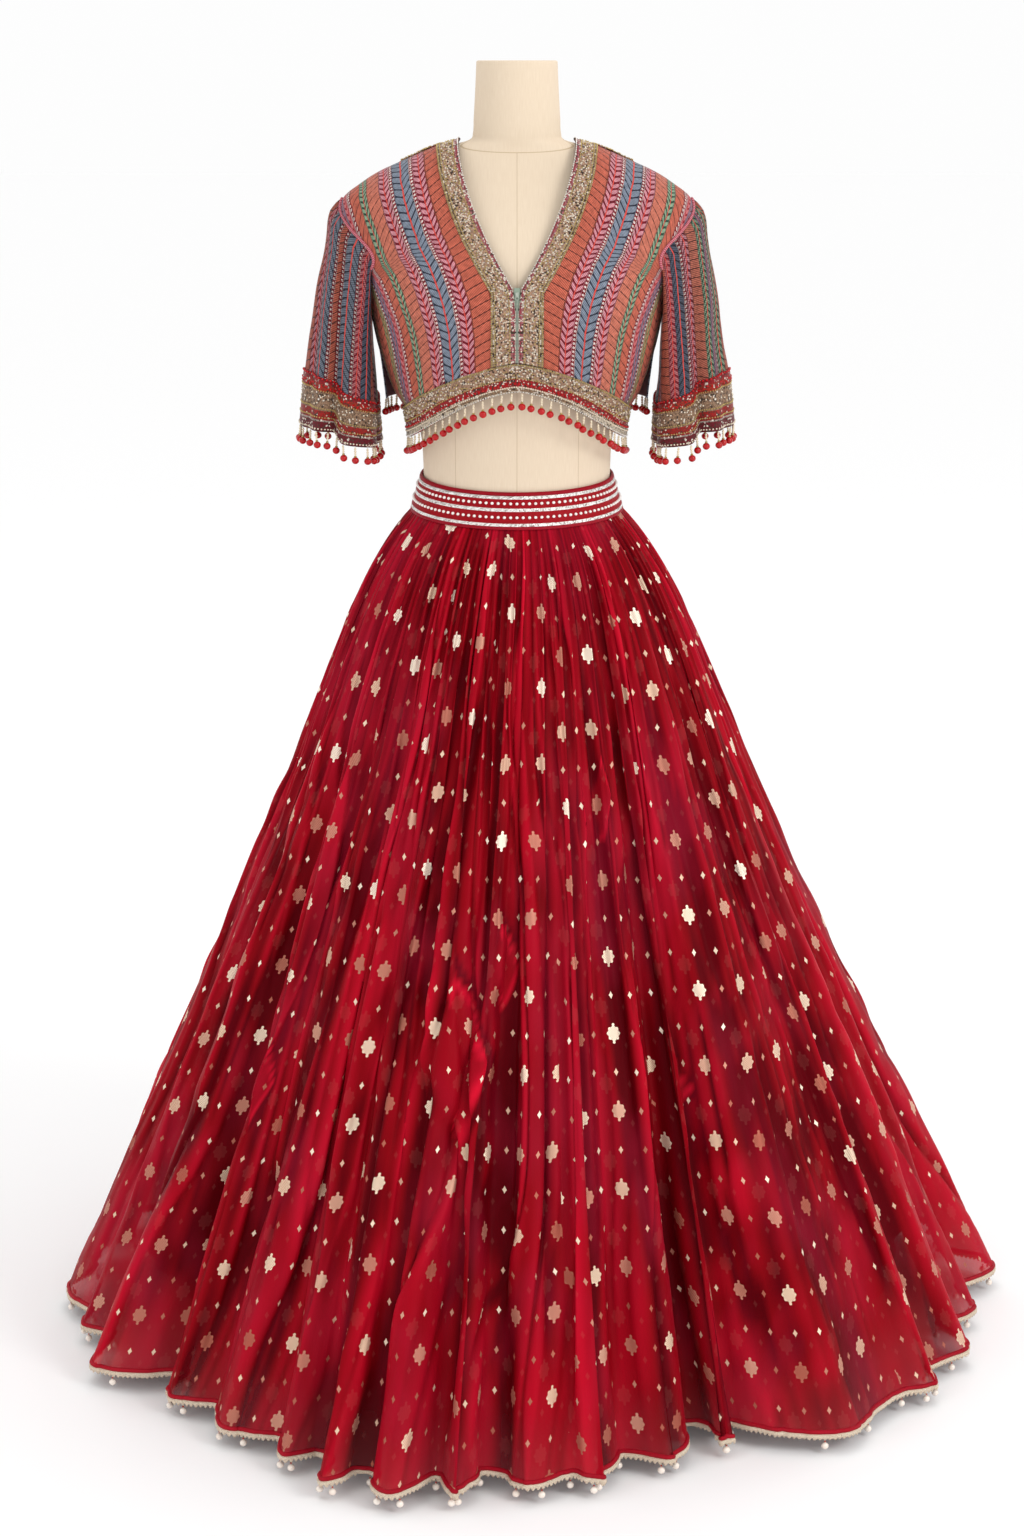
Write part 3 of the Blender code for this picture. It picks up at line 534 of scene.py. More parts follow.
def foilMask(tree, u, v):
    # white on the foil: scalloped ovals with a dotted field, and diamonds between them
    cellU = addNode(tree, "Math ROUND", addNode(tree, "Math DIVIDE", u, motif["stepAcross"]))
    cellV = addNode(tree, "Math ROUND", addNode(tree, "Math DIVIDE", v, motif["stepDown"]))
    du = addNode(tree, "Math SUBTRACT", u, addNode(tree, "Math MULTIPLY", cellU, motif["stepAcross"]))
    dv = addNode(tree, "Math SUBTRACT", v, addNode(tree, "Math MULTIPLY", cellV, motif["stepDown"]))
    oddU = addNode(tree, "Math FLOORED_MODULO", cellU, 2.0)
    oddV = addNode(tree, "Math FLOORED_MODULO", cellV, 2.0)
    large = addNode(tree, "Math LESS_THAN", addNode(tree, "Math ADD", oddU, oddV), 0.5)
    ax = addNode(tree, "Math DIVIDE", du, motif["halfWidth"])
    ay = addNode(tree, "Math DIVIDE", dv, motif["halfHeight"])
    squares = addNode(tree, "Math MULTIPLY_ADD", ax, ax, addNode(tree, "Math MULTIPLY", ay, ay))
    radius = addNode(tree, "Math SQRT", squares)
    angle = addNode(tree, "Math MULTIPLY", addNode(tree, "Math ARCTAN2", ax, ay), 8.0)
    scallop = addNode(tree, "Math MULTIPLY_ADD", addNode(tree, "Math COSINE", angle), 0.09, 0.91)
    core = addNode(tree, "Math LESS_THAN", radius, scallop)
    dotsU, dotsV = (
        addNode(tree, "Math SINE", addNode(tree, "Math MULTIPLY", part, turn / motif["dotStep"])) for part in (du, dv)
    )
    dots = addNode(tree, "Math GREATER_THAN", addNode(tree, "Math MULTIPLY", dotsU, dotsV), -0.5)
    rim = addNode(tree, "Math SUBTRACT", 1.0, addNode(tree, "Math LESS_THAN", radius, 0.80))
    field = addNode(tree, "Math MULTIPLY", core, addNode(tree, "Math MAXIMUM", dots, rim))
    # a small knob above and below
    knobV = addNode(tree, "Math SUBTRACT", addNode(tree, "Math ABSOLUTE", dv), motif["knobAt"])
    squares = addNode(tree, "Math MULTIPLY_ADD", du, du, addNode(tree, "Math MULTIPLY", knobV, knobV))
    knob = addNode(tree, "Math LESS_THAN", addNode(tree, "Math SQRT", squares), motif["knob"])
    ovalShape = addNode(tree, "Math MAXIMUM", field, knob)
    shares = []
    for part, size in ((du, motif["diamondWidth"]), (dv, motif["diamondHeight"])):
        share = addNode(tree, "Math ABSOLUTE", addNode(tree, "Math DIVIDE", part, size))
        shares.append(addNode(tree, "Math POWER", share, 0.85))
    diamond = addNode(tree, "Math LESS_THAN", addNode(tree, "Math ADD", *shares), 1.0)
    cell = addNode(tree, "CombineXYZ", cellU, cellV, 0.0)
    chance = addNode(tree, "TexWhiteNoise", cell, noise_dimensions="2D")
    mask = addNode(tree, "MixRGB", large, diamond, ovalShape)
    return mask, chance


def organzaMaterial():
    # silk organza, piece dyed, foil woven in: sheer crisp cloth with a soft sheen, metal glint at the motifs
    made, tree, shader = newMaterial(
        "silk organza, crimson with foil motifs", "A80C22", Roughness=0.45, Sheen_Weight=0.05, Sheen_Roughness=0.4,
        Specular_IOR_Level=0.03,
    )
    shader.inputs["Sheen Tint"].default_value = hexColour("FF5A66")
    uv, u, v = clothMap(tree)
    mask, chance = foilMask(tree, u, v)
    # the same motifs of a layer behind show faintly
    behindU = addNode(tree, "Math ADD", u, motif["behindAcross"])
    behindV = addNode(tree, "Math ADD", v, motif["behindDown"])
    ghost, _ = foilMask(tree, behindU, behindV)
    fold = addNode(tree, "SeparateXYZ", addNode(tree, "UVMap", uv_map="fold"))
    down = fold.node.outputs[1]
    # painted shade and light: where the single layer lies over its lining, the hollows of the folds are painted deep
    # crimson and the tops of the folds clear red
    tone = addNode(tree, "ValToRGB", fold)
    setRamp(tone, ((0.0, "580009"), (0.14, "820410"), (0.42, "B20A22"), (0.75, "D0112C"), (1.0, "E41C38")))
    # soft clouds of a lighter tone, about 10 by 30 cm
    place = addNode(tree, "Mapping", objectPlace(tree), None, None, (9.0, 9.0, 3.0))
    cloud = addNode(tree, "MapRange", addNode(tree, "TexNoise", place, None, 1.0, 3.0, 0.55), 0.45, 0.68, 0.0, 0.32)
    cloth = addNode(tree, "MixRGB", cloud, tone, "B01E3C")
    ghosted = addNode(tree, "MixRGB", addNode(tree, "Math MULTIPLY", ghost, 0.045), cloth, "D88A80")
    # painted light and shade on the foil: each motif is painted from rose gold, for foil in shade, to pale cream, for
    # lit foil, at random and more often cream near the waist and rose gold near the hem
    foilLightShare = addNode(tree, "Math MULTIPLY_ADD", down, -0.4, addNode(tree, "Math ADD", chance, 0.2))
    foil = addNode(tree, "ValToRGB", foilLightShare)
    setRamp(foil, ((0.0, "A8604F"), (0.34, "C48A76"), (0.68, "E2C6AA"), (1.0, "F6E8D4")))
    colour = addNode(tree, "MixRGB", mask, ghosted, foil)
    metal = addNode(tree, "Math MULTIPLY", mask, 0.35)
    # below the lining's edge the single layer is sheerer
    sheer = addNode(tree, "MapRange", down, 0.925, 0.955, 0.95, 0.87)
    alpha = addNode(tree, "MapRange", mask, 0.0, 1.0, sheer, 1.0)
    # crinkle of crisp silk, about 2 by 12 mm
    drawn = addNode(tree, "Mapping", uv, None, None, (420.0, 70.0, 1.0))
    crinkle = addNode(tree, "TexNoise", drawn, None, 1.0, 3.0, 0.55)
    height = addNode(tree, "Math MULTIPLY_ADD", mask, 0.6, crinkle)
    bump = addNode(tree, "Bump", 0.35, 0.0008, None, height)
    wire(tree, shader, Base_Color=colour, Metallic=metal, Alpha=alpha, Normal=bump)
    return made


organza = organzaMaterial()
halfFolds = foldCount // 2
falls = np.linspace(0, 1, skirt["rows"]) ** 0.93
step = 1 / skirt["columnsPerFold"]
for number, name in ((1, "skirt_organza_front"), (2, "skirt_organza_back")):
    first = halfFolds * (number - 1)
    last = first + halfFolds
    columns = first + np.arange(halfFolds * skirt["columnsPerFold"] + 1) / skirt["columnsPerFold"]
    # two columns more at each side, so that the halves agree where they meet
    wide = np.concatenate([[first - 2 * step, first - step], columns, [last + step, last + 2 * step]])
    points, high = (part[:, 2:-2] for part in drapedSkirt(wide[None, :], falls[:, None]))
    around = lengths(points, 1)
    down = np.broadcast_to(lengths(points, 0).mean(axis=1, keepdims=True), around.shape)
    # each gore is two folds wide, and its cloth is cut on the straight at its middle
    faceColumn = np.arange(halfFolds * skirt["columnsPerFold"])
    gore = faceColumn // (2 * skirt["columnsPerFold"])
    middle = around[:, gore * 2 * skirt["columnsPerFold"] + skirt["columnsPerFold"]]
    shiftU, shiftV = 15 * mm * (gore % 2) + 0.004 * gore, 0.037 * ((gore + 8 * number) % 5)
    corners = np.empty((len(falls) - 1, len(faceColumn), 4, 2))
    for corner, (r, c) in enumerate(((0, 0), (0, 1), (1, 1), (1, 0))):
        rows = slice(r, len(falls) - 1 + r)
        corners[..., corner, 0] = around[rows, c:c + len(faceColumn)] - middle[rows] + shiftU
        corners[..., corner, 1] = down[rows, c:c + len(faceColumn)] + shiftV
    made = gridPiece(name, points, corners, [organza])
    # how high the cloth lies on its fold, which paints light and shade into its tone, and how far down the skirt
    layer = made.data.uv_layers.new(name="fold")
    foldShadeAndFall = pairs(high, falls[:, None]).reshape(-1, 2)
    owner = np.empty(len(made.data.loops), dtype=int)
    made.data.loops.foreach_get("vertex_index", owner)
    layer.data.foreach_set("uv", foldShadeAndFall[owner].astype(np.float32).ravel())
    finishPiece(made, "organza", *(f"skirt_panel_{n}" for n in range(4 * number - 3, 4 * number + 1)))
print("organza ready")

# polyester satin lining, plain weave, dyed: smooth and slightly glossy
lining, tree, shader = newMaterial("satin lining, deep red", "A80E28", Roughness=0.45, Specular_IOR_Level=0.04)
cloud = addNode(tree, "TexNoise", objectPlace(tree), None, 6.0, 2.0, 0.5)
wire(tree, shader, Base_Color=addNode(tree, "MixRGB", cloud, "8E0418", "AC0820"))
threads = addNode(tree, "TexWave", clothMap(tree)[0], 900.0, bands_direction="X")
wire(tree, shader, Normal=addNode(tree, "Bump", 0.08, 0.0002, None, threads))
places = np.arange(foldCount * skirt["liningColumnsPerFold"]) / skirt["liningColumnsPerFold"]
falls = np.linspace(0, skirt["liningEnd"], skirt["liningRows"])
points = liningSurface(places[None, :], falls[:, None])
liningPiece = gridPiece("skirt_lining", points, ringUv(points), [lining], closed=True)
finishPiece(liningPiece, "lining", *(f"skirt_lining_{n}" for n in range(1, 9)))


# Hem: rolled edge, scalloped lace and pearl drops

hem = {
    "stepsPerFold": 60, "rollRadius": 2.8 * mm, "rollDrop": 1.0 * mm, "rollSides": 7,
    "laceDepth": 8.5 * mm, "laceTop": 2.2 * mm, "laceColumns": 4400, "laceWall": 0.8 * mm, "scallop": 6.0 * mm,
    "stitch": 0.003, "pearl": 4.4 * mm, "pearls": 96,
}
fine = hem["stepsPerFold"] * foldCount
hemPlaces = np.arange(fine) / hem["stepsPerFold"]
hemNear = drapedSkirt(
    np.concatenate([hemPlaces[-3:] - foldCount, hemPlaces, hemPlaces[:3] + foldCount])[None, :],
    np.array([[0.985], [0.99], [0.995], [1.0]]))[0]
hemLine = hemNear[-1, 3:-3]


def ahead(line):
    # the way on along a closed line
    return unit(np.roll(line, -1, axis=0) - np.roll(line, 1, axis=0))


hemOut = np.cross(ahead(hemLine), upward)
hemOut = unit(hemOut * np.sign(np.sum(hemOut * hemLine * np.array([1, 1, 0]), axis=1, keepdims=True)))


def tube(name, line, out, up, radius, sides, material):
    # a closed ring of cord along a closed line
    angles = np.arange(sides) * turn / sides
    ring = np.cos(angles)[:, None, None] * out[None] + np.sin(angles)[:, None, None] * up[None]
    points = line[None] + ring * radius
    points = np.concatenate([points, points[:1]], axis=0)
    made = gridPiece(name, points, ringUv(points), [material], closed=True, inside=line[None])
    tidy = bmesh.new()
    tidy.from_mesh(made.data)
    bmesh.ops.remove_doubles(tidy, verts=tidy.verts, dist=1e-6)
    bmesh.ops.recalc_face_normals(tidy, faces=tidy.faces)
    tidy.to_mesh(made.data)
    tidy.free()
    return made


# rolled and overcast edge of the organza: dense red thread
edging = twoToneMaterial(
    "rolled hem, overcast red silk", "A80820", ("86041A", "C00C26"), "TexWave", 260.0, 1.5, bump=(0.5, 0.0005),
    bands="X", Roughness=0.55, Specular_IOR_Level=0.15)
upLine = np.broadcast_to(upward, hemOut.shape)
rollLine = hemLine - upLine * hem["rollDrop"]
roll = tube("skirt_hem_roll", rollLine, hemOut, upLine, hem["rollRadius"], hem["rollSides"], edging)
finishPiece(roll, "organza")

# cotton picot lace, ecru: matt, with eyelets between the scallops painted dark, as painted shade in the holes
laceFinish, tree, shader = newMaterial("cotton lace, ecru", "EAD8BE", Roughness=0.8)
along, across = (
    addNode(tree, "Math SINE", addNode(tree, "Math MULTIPLY", part, turn / hem["stitch"]))
    for part in clothMap(tree)[1:]
)
knots = addNode(tree, "Math MULTIPLY", along, across)
eyeletShade = addNode(tree, "Math GREATER_THAN", knots, 0.45)
wire(tree, shader, Base_Color=addNode(tree, "MixRGB", eyeletShade, "F2E2CA", "B98A6E"))
wire(tree, shader, Normal=addNode(tree, "Bump", 0.6, 0.0006, None, knots))
lacePick = np.linspace(0, fine, hem["laceColumns"], endpoint=False)
low = np.floor(lacePick).astype(int)
share = (lacePick - low)[:, None]
laceLine, laceOut = (part[low] * (1 - share) + part[(low + 1) % fine] * share for part in (hemLine, hemOut))
run = lengths(np.concatenate([laceLine, laceLine[:1]])[None], 1)[0]
scallops = round(run[-1] / hem["scallop"])
wave = np.abs(np.sin(math.pi * scallops * run[:-1] / run[-1]))
laceRows = []
# share of the lace's depth, and how far it stands out in mm
for share, bulge in ((0.0, 1.4), (0.25, 3.2), (0.65, 3.4), (1.0, 2.0)):
    drop = hem["laceTop"] + share * hem["laceDepth"] * (0.55 + 0.45 * wave)
    laceRows.append(laceLine + laceOut * (bulge * mm) - drop[:, None] * upward)
points = np.stack(laceRows)
lace = gridPiece("skirt_hem_lace_edge", points, ringUv(points), [laceFinish], closed=True)
applyModifier(lace, "SOLIDIFY", thickness=hem["laceWall"], offset=-1)
finishPiece(lace, "lace", "skirt_hem_lace")

# cultured pearl, lustrous; the link is cream thread with a tiny red bead
pearlFinish = twoToneMaterial(
    "pearl, cream lustre", "F4E7DA", ("EBD9C9", "FBF3EA"), "TexNoise", None, 120.0, 1.0,
    Roughness=0.22, Coat_Weight=0.6, IOR=1.53)
threadFinish = twoToneMaterial(
    "cotton thread, cream, twisted", "E6D6BC", ("CDB894", "F3E7D2"), "TexWave", 300.0, bands="DIAGONAL",
    Roughness=0.85)
redBead = twoToneMaterial(
    "glass bead, opaque red, fire polished", "B30812", ("9C0209", "C2070F"), "TexNoise", None, 90.0, 1.0,
    Roughness=0.16, Coat_Weight=0.2, Coat_Roughness=0.05, Specular_IOR_Level=0.3)


def joinModel(parts):
    # balls and threads as one model; a part is (kind, height, radius, length, look), and a ball's length is
    # its height as a share of its width, because a drilled bead is a little flat at its holes
    points, faces, looks = [], [], []
    for kind, height, radius, length, look in parts:
        if kind == "ball":
            bpy.ops.mesh.primitive_uv_sphere_add(segments=12, ring_count=8, radius=radius, location=(0, 0, height))
        else:
            bpy.ops.mesh.primitive_cylinder_add(
                vertices=6, radius=radius, depth=length, location=(0, 0, height), end_fill_type="TRIFAN")
        bpy.ops.object.transform_apply(location=True, rotation=True, scale=True)
        piece = bpy.context.active_object
        if kind == "ball":
            for vertex in piece.data.vertices:
                vertex.co.z = height + (vertex.co.z - height) * length
        partPoints, partFaces = takeMesh(piece)
        before = sum(len(x) for x in points)
        faces += [tuple(i + before for i in face) for face in partFaces]
        points.append(partPoints)
        looks += [look] * len(partFaces)
    return np.concatenate(points), faces, looks


pearlTop = -(hem["laceTop"] + hem["laceDepth"])
pearlDrop = joinModel((
    ("thread", pearlTop - 2.2 * mm, 0.5 * mm, 5.5 * mm, 1),
    ("ball", pearlTop - 1.6 * mm, 1.1 * mm, 0.9, 2),
    ("ball", pearlTop - 2.8 * mm - hem["pearl"], hem["pearl"], 0.95, 0),
))
pick = (np.arange(hem["pearls"]) * 2 / 6 * hem["stepsPerFold"]).astype(int)
pearls = copyMany("skirt_hem_pearls", pearlDrop, hemLine[pick], [pearlFinish, threadFinish, redBead])
finishPiece(pearls, "lace")
print("hem ready")


# Waistband: dark red piping, three sequin stripes and two rows of white beads

# cotton satin band, red, with bead embroidery
bandFinish, tree, shader = newMaterial(
    "waistband, embroidered red satin", "B30A1C", Roughness=0.5, Specular_IOR_Level=0.15)
uv, _, v = clothMap(tree)
stripe = addNode(tree, "ValToRGB", addNode(tree, "Math DIVIDE", v, 50 * mm))
# places are shares of 50 mm down from the top edge
setRamp(stripe, (
    (0.0, "94041A"), (0.075, "DAD6D2"), (0.15, "9A0414"), (0.375, "DAD6D2"), (0.45, "9A0414"),
    (0.74, "DAD6D2"), (0.81, "960C20"),
), "CONSTANT")
silver = addNode(tree, "Math GREATER_THAN", addNode(tree, "SeparateColor", stripe).node.outputs[1], 0.3)
sequins = addNode(tree, "TexVoronoi", uv, None, 620.0)
glint = addNode(tree, "SeparateColor", sequins.node.outputs["Color"])
# painted glint: each sequin is painted at random from dull grey to white, as if it caught the light
sequinGlintTone = addNode(tree, "ValToRGB", glint)
setRamp(sequinGlintTone, ((0.0, "8E7672"), (0.25, "CCC4C0"), (0.5, "DEDEDA"), (0.8, "F2EEEA"), (1.0, "FFFFFF")))
tone = addNode(tree, "MixRGB", silver, stripe, sequinGlintTone)
wire(tree, shader, Base_Color=tone, Metallic=addNode(tree, "Math MULTIPLY", silver, 0.5))
wire(tree, shader, Normal=addNode(tree, "Bump", 0.7, 0.0008, None, sequins))
# seed beads, opaque glass: bright and glossy
whiteBead = twoToneMaterial(
    "glass seed bead, white", "F6F1EC", ("E9E0D8", "FFFDFA"), "TexNoise", None, 200.0, 1.0,
    Roughness=0.2, Coat_Weight=0.4, IOR=1.5)


def bandPoint(angle, drop, out):
    hx, hy = oval(angle, *waist["topOval"])
    lx, ly = oval(angle, *waist["bottomOval"])
    x, y = hx + (lx - hx) * drop, hy + (ly - hy) * drop
    away = np.hypot(x, y)
    z = waist["topHeight"] - waist["tilt"] * np.cos(angle) - waist["depth"] * drop
    return np.stack([x * (1 + out / away), y * (1 + out / away), z], axis=-1)


# share of the depth and how far it stands out in mm, from the inside top over the edge and down
bandProfile = (
    (0.02, -2.4), (0.0, -1.6), (-0.02, -0.4), (-0.02, 0.6), (0.02, 1.3), (0.06, 1.3), (0.078, 0.2),
    (0.095, 0.9), (0.13, 1.2), (0.18, 0.9), (0.198, 0.2), (0.29, 0.1), (0.37, 0.2), (0.39, 0.9), (0.455, 1.2),
    (0.51, 0.9), (0.53, 0.2), (0.66, 0.1), (0.785, 0.2), (0.805, 0.9), (0.86, 1.2), (0.915, 0.9), (0.935, 0.3),
    (0.96, 0.7), (0.985, 0.6), (1.0, 0.1), (1.01, -0.8), (1.0, -2.2),
)
band = {
    "columns": 360, "slope": 1.04, "bead": 2.0 * mm, "beadOut": 0.9 * mm,
    # share of the depth and number of beads
    "beadRows": ((0.29, 102), (0.665, 106)),
}
angles = np.arange(band["columns"]) * turn / band["columns"]
points = np.stack([bandPoint(angles, drop, out * mm) for drop, out in bandProfile])
down = np.array([max(0.0, drop) * waist["depth"] * band["slope"] for drop, _ in bandProfile])
corners = cornerUv(pairs(lengths(ringed(points), 1), down[:, None]))
bandPiece = gridPiece("skirt_waistband_embroidered", points, corners, [bandFinish], closed=True)
finishPiece(bandPiece, "waistband", "skirt_waistband")
bandBead = joinModel((("ball", 0.0, band["bead"], 0.92, 0),))
beadPlaces = [bandPoint(np.arange(count) * turn / count, drop, band["beadOut"]) for drop, count in band["beadRows"]]
bandBeads = copyMany("skirt_waistband_beads", bandBead, np.concatenate(beadPlaces), [whiteBead])
finishPiece(bandBeads, "waistband")
print("waistband ready")


# Dress form

form = {"columns": 96, "neckSeam": 1.5035, "sideSeamTop": 1.45, "sideSeam": 0.079}
# height, half width, front depth and back depth in mm
formSections = (
    (800, 148, 106, 116), (880, 154, 110, 121), (960, 147, 108, 116), (1020, 127, 99, 98),
    (1060, 117, 91.5, 89.3), (1082, 116, 90.6, 88.4), (1106, 116, 90.8, 88.4), (1140, 118.5, 94, 88),
    (1200, 132, 106, 91), (1260, 151, 123, 94), (1310, 167, 130, 96), (1360, 180, 120, 95),
    (1400, 195, 96, 86), (1423, 204.5, 76, 74), (1440, 197.5, 63, 66), (1455, 175.7, 54, 59),
    (1470, 144.5, 49, 55), (1485, 107.5, 46, 51), (1493, 84, 46, 49), (1500, 58, 47.5, 49),
    (1508, 53.5, 49, 49), (1525, 52.5, 50, 50), (1560, 50.5, 50, 50), (1594, 49, 49, 49),
)

# cotton linen stretched over a padded body, ivory: matt plain weave, threads about 0.6 mm apart
linen, tree, shader = newMaterial(
    "linen, ivory, stretched", "DECBB2", Roughness=0.9, Sheen_Weight=0.08, Specular_IOR_Level=0.2)
uv, aroundForm, heightForm = clothMap(tree)
# drawn a little coarser, so that it shows
warp, weft = (addNode(tree, "TexWave", uv, 2.86 / 0.0031, 0.6, bands_direction=axis) for axis in "XY")
weave = addNode(tree, "Math MULTIPLY", addNode(tree, "Math MULTIPLY", warp, weft), 0.25)
slub = addNode(tree, "TexNoise", addNode(tree, "Mapping", uv, None, None, (900.0, 60.0, 1.0)), None, 1.0, 2.0)
tone = addNode(tree, "MixRGB", slub, "D8C4AB", "E4D3BC")
# seams: down the middle and the sides of the front, and round the root of the neck, where it dips at the front
frontward = addNode(tree, "SeparateXYZ", objectPlace(tree)).node.outputs[1]
neckLine = addNode(tree, "Math MULTIPLY_ADD", frontward, -0.38, heightForm)
belowNeck = addNode(tree, "Math LESS_THAN", neckLine, form["neckSeam"])
centreSeam = addNode(tree, "Math MULTIPLY", addNode(tree, "Math COMPARE", aroundForm, 0.0, 0.4 * mm), belowNeck)
sideSeam = addNode(tree, "Math COMPARE", addNode(tree, "Math ABSOLUTE", aroundForm), form["sideSeam"], 0.4 * mm)
belowTop = addNode(tree, "Math LESS_THAN", heightForm, form["sideSeamTop"])
sideSeam = addNode(tree, "Math MULTIPLY", sideSeam, belowTop)
neckSeam = addNode(tree, "Math COMPARE", neckLine, form["neckSeam"], 0.5 * mm)
seams = addNode(tree, "Math MAXIMUM", addNode(tree, "Math MAXIMUM", centreSeam, sideSeam), neckSeam)
wire(tree, shader, Base_Color=addNode(tree, "MixRGB", seams, tone, "C4AE90"))
height = addNode(tree, "Math SUBTRACT", weave, addNode(tree, "Math MULTIPLY", seams, 2.0))
wire(tree, shader, Normal=addNode(tree, "Bump", 0.35, 0.0005, None, height))

# first height, last height and rows
stretches = ((800, 1400, 44), (1404, 1530, 64), (1534, 1592.2, 16))
rowHeights = np.concatenate([np.linspace(*stretch) for stretch in stretches])
angles = -math.pi + np.arange(form["columns"]) * turn / form["columns"]
rings = []
for height in rowHeights:
    sizes = [float(section(formSections, column, height)) * mm for column in (1, 2, 3)]
    x, y = oval(angles, *sizes)
    rings.append(np.stack([x, y, np.full_like(x, height * mm)], axis=-1))
top = rings[-1]
# the neck's rounded top, with a small groove: share of the width, and lift in mm
neckTop = (
    (0.995, 0.8), (0.975, 1.5), (0.95, 1.8), (0.93, 1.4), (0.91, 1.6), (0.6, 1.8), (0.3, 1.8), (0.02, 1.8),
)
for share, lift in neckTop:
    ring = top * np.array([share, share, 1.0])
    ring[:, 2] = top[:, 2] + lift * mm
    rings.append(ring)
base = rings[0] * np.array([0.02, 0.02, 1.0])
points = np.stack([base] + rings)
around = lengths(ringed(points), 1)
around = around - around[:, [form["columns"] // 2]]
corners = cornerUv(pairs(around, ringed(points)[..., 2]))
torso = gridPiece("form_torso_linen", points, corners, [linen], closed=True)
# both ends are closed with one face
count = points.shape[0] * points.shape[1]
for ring in (range(form["columns"]), range(count - form["columns"], count)):
    activate(torso)
    bpy.ops.object.mode_set(mode="EDIT")
    bpy.ops.mesh.select_mode(type="VERT")
    bpy.ops.mesh.select_all(action="DESELECT")
    bpy.ops.object.mode_set(mode="OBJECT")
    for i in ring:
        torso.data.vertices[i].select = True
    bpy.ops.object.mode_set(mode="EDIT")
    bpy.ops.mesh.edge_face_add()
    bpy.ops.object.mode_set(mode="OBJECT")
torso.data.shade_smooth()
finishPiece(torso, "linen", "form_torso")

# powder coated steel stand: satin dark grey with a fine orange peel
steel = twoToneMaterial(
    "steel, powder coated dark grey", "3A3A3C", ("323234", "434346"), "TexNoise", None, 500.0, 2.0,
    bump=(0.2, 0.0004), Roughness=0.5)
for name in ("form_pole", "form_foot"):
    for slot in nodes[name].material_slots:
        slot.material = steel
print("form ready")


# Blouse surface

blouse = {
    "wall": 1.6 * mm, "neckPoint": (71.0, 1502.4), "shoulderTip": 1430.0, "underarm": 1322.0, "vBottom": 1330.0,
    "backNeck": 1488.0, "hemSide": 1141.0, "hemPeak": 67.0, "backHem": 1187.0, "centreEdge": 4.2,
    "frontScoopDeg": 33.0, "backScoopDeg": 26.0, "neckBorder": 28 * mm, "backBorderShare": 0.085,
    "backNeckShare": 0.40, "hemBorderShare": 0.115, "underarmShare": 0.55, "bustBulge": 9 * mm,
    "centreShare": 0.40, "rows": 84, "columns": 52, "rumple": 1.1 * mm,
}
# height, half width, front depth and back depth in mm
frontSections = (
    (1130, 134, 118, 110), (1175, 139, 120, 112), (1200, 153, 126, 112), (1250, 170, 136, 109),
    (1300, 181, 141, 105), (1322, 186, 139, 104), (1350, 196, 132, 103), (1400, 211, 108, 97),
    (1430, 212, 88, 87), (1450, 188, 75, 77), (1464, 165, 67, 70), (1478, 133, 60, 64),
    (1493, 98, 54, 60), (1500, 73, 50, 58), (1510, 62, 48, 56),
)
backSections = ((1130, 158, 118, 121), (1187, 162, 120, 118), (1215, 165, 126, 113)) + frontSections[3:]


def bodice(sections, angle, height):
    # height in mm; the blouse's outer face
    half, front, back = (section(sections, column, height) * mm for column in (1, 2, 3))
    x, y = oval(angle, half, front, back, 0.9)
    lean = np.abs(np.degrees(angle)) - 34
    bust = np.exp(-((lean / 20) ** 2) - ((height - 1305) / 45) ** 2) * (np.cos(angle) > 0)
    grow = 1 + blouse["bustBulge"] * bust / np.hypot(x, y)
    return np.stack(np.broadcast_arrays(x * grow, y * grow, np.asarray(height) * mm), axis=-1)


def coons(left, right, bottom, top, s, t):
    # a patch between four edges, each of which gives (angle, height)
    made = []
    edges = left(t), right(t), bottom(s), top(s)
    corners = [edge(np.array(float(end))) for edge in (left, right) for end in (0, 1)]
    for k in (0, 1):
        l, r, b, u = (edge[k] for edge in edges)
        c00, c01, c10, c11 = (corner[k] for corner in corners)
        corner = (1 - s) * (1 - t) * c00 + s * (1 - t) * c10 + (1 - s) * t * c01 + s * t * c11
        made.append(l * (1 - s) + r * s + b * (1 - t) + u * t - corner)
    return made


def sideEdge(t, hemHeight, scoopDeg):
    q = np.clip((t - blouse["underarmShare"]) / (1 - blouse["underarmShare"]), 0, 1)
    scoop = scoopDeg * np.maximum(0, np.sin(math.pi * q ** 0.72)) ** 1.5
    low = hemHeight + (blouse["underarm"] - hemHeight) * t / blouse["underarmShare"]
    high = blouse["underarm"] + (blouse["shoulderTip"] - blouse["underarm"]) * q
    return np.radians(90 - scoop), np.where(t < blouse["underarmShare"], low, high)


def angleAt(x, height):
    half = section(frontSections, 1, height)
    return np.arcsin(np.minimum(1.0, np.maximum(0, x / half) ** (1 / 0.9)))


def frontHem(angle):
    return blouse["hemSide"] + blouse["hemPeak"] * (1 - np.abs(np.sin(angle)) ** 1.3)


def frontCentre(t):
    neckX, neckZ = blouse["neckPoint"]
    low = frontHem(0.0)
    straight = blouse["centreShare"]
    q = np.clip((t - straight) / (1 - straight), 0, 1)
    below = low + (blouse["vBottom"] - low) * t / straight
    height = np.where(t < straight, below, blouse["vBottom"] + (neckZ - blouse["vBottom"]) * q)
    x = blouse["centreEdge"] + (neckX - blouse["centreEdge"]) * (1 - (1 - q) ** 1.6)
    return np.where(q > 0.9995, math.pi / 2, angleAt(x, height)), height


def frontHemEdge(s):
    angle = angleAt(blouse["centreEdge"], frontHem(0.0)) * (1 - s) + math.pi / 2 * s
    return angle, frontHem(angle)


def frontShoulder(s):
    neckZ = blouse["neckPoint"][1]
    return np.full_like(s, math.pi / 2), neckZ + (blouse["shoulderTip"] - neckZ) * s


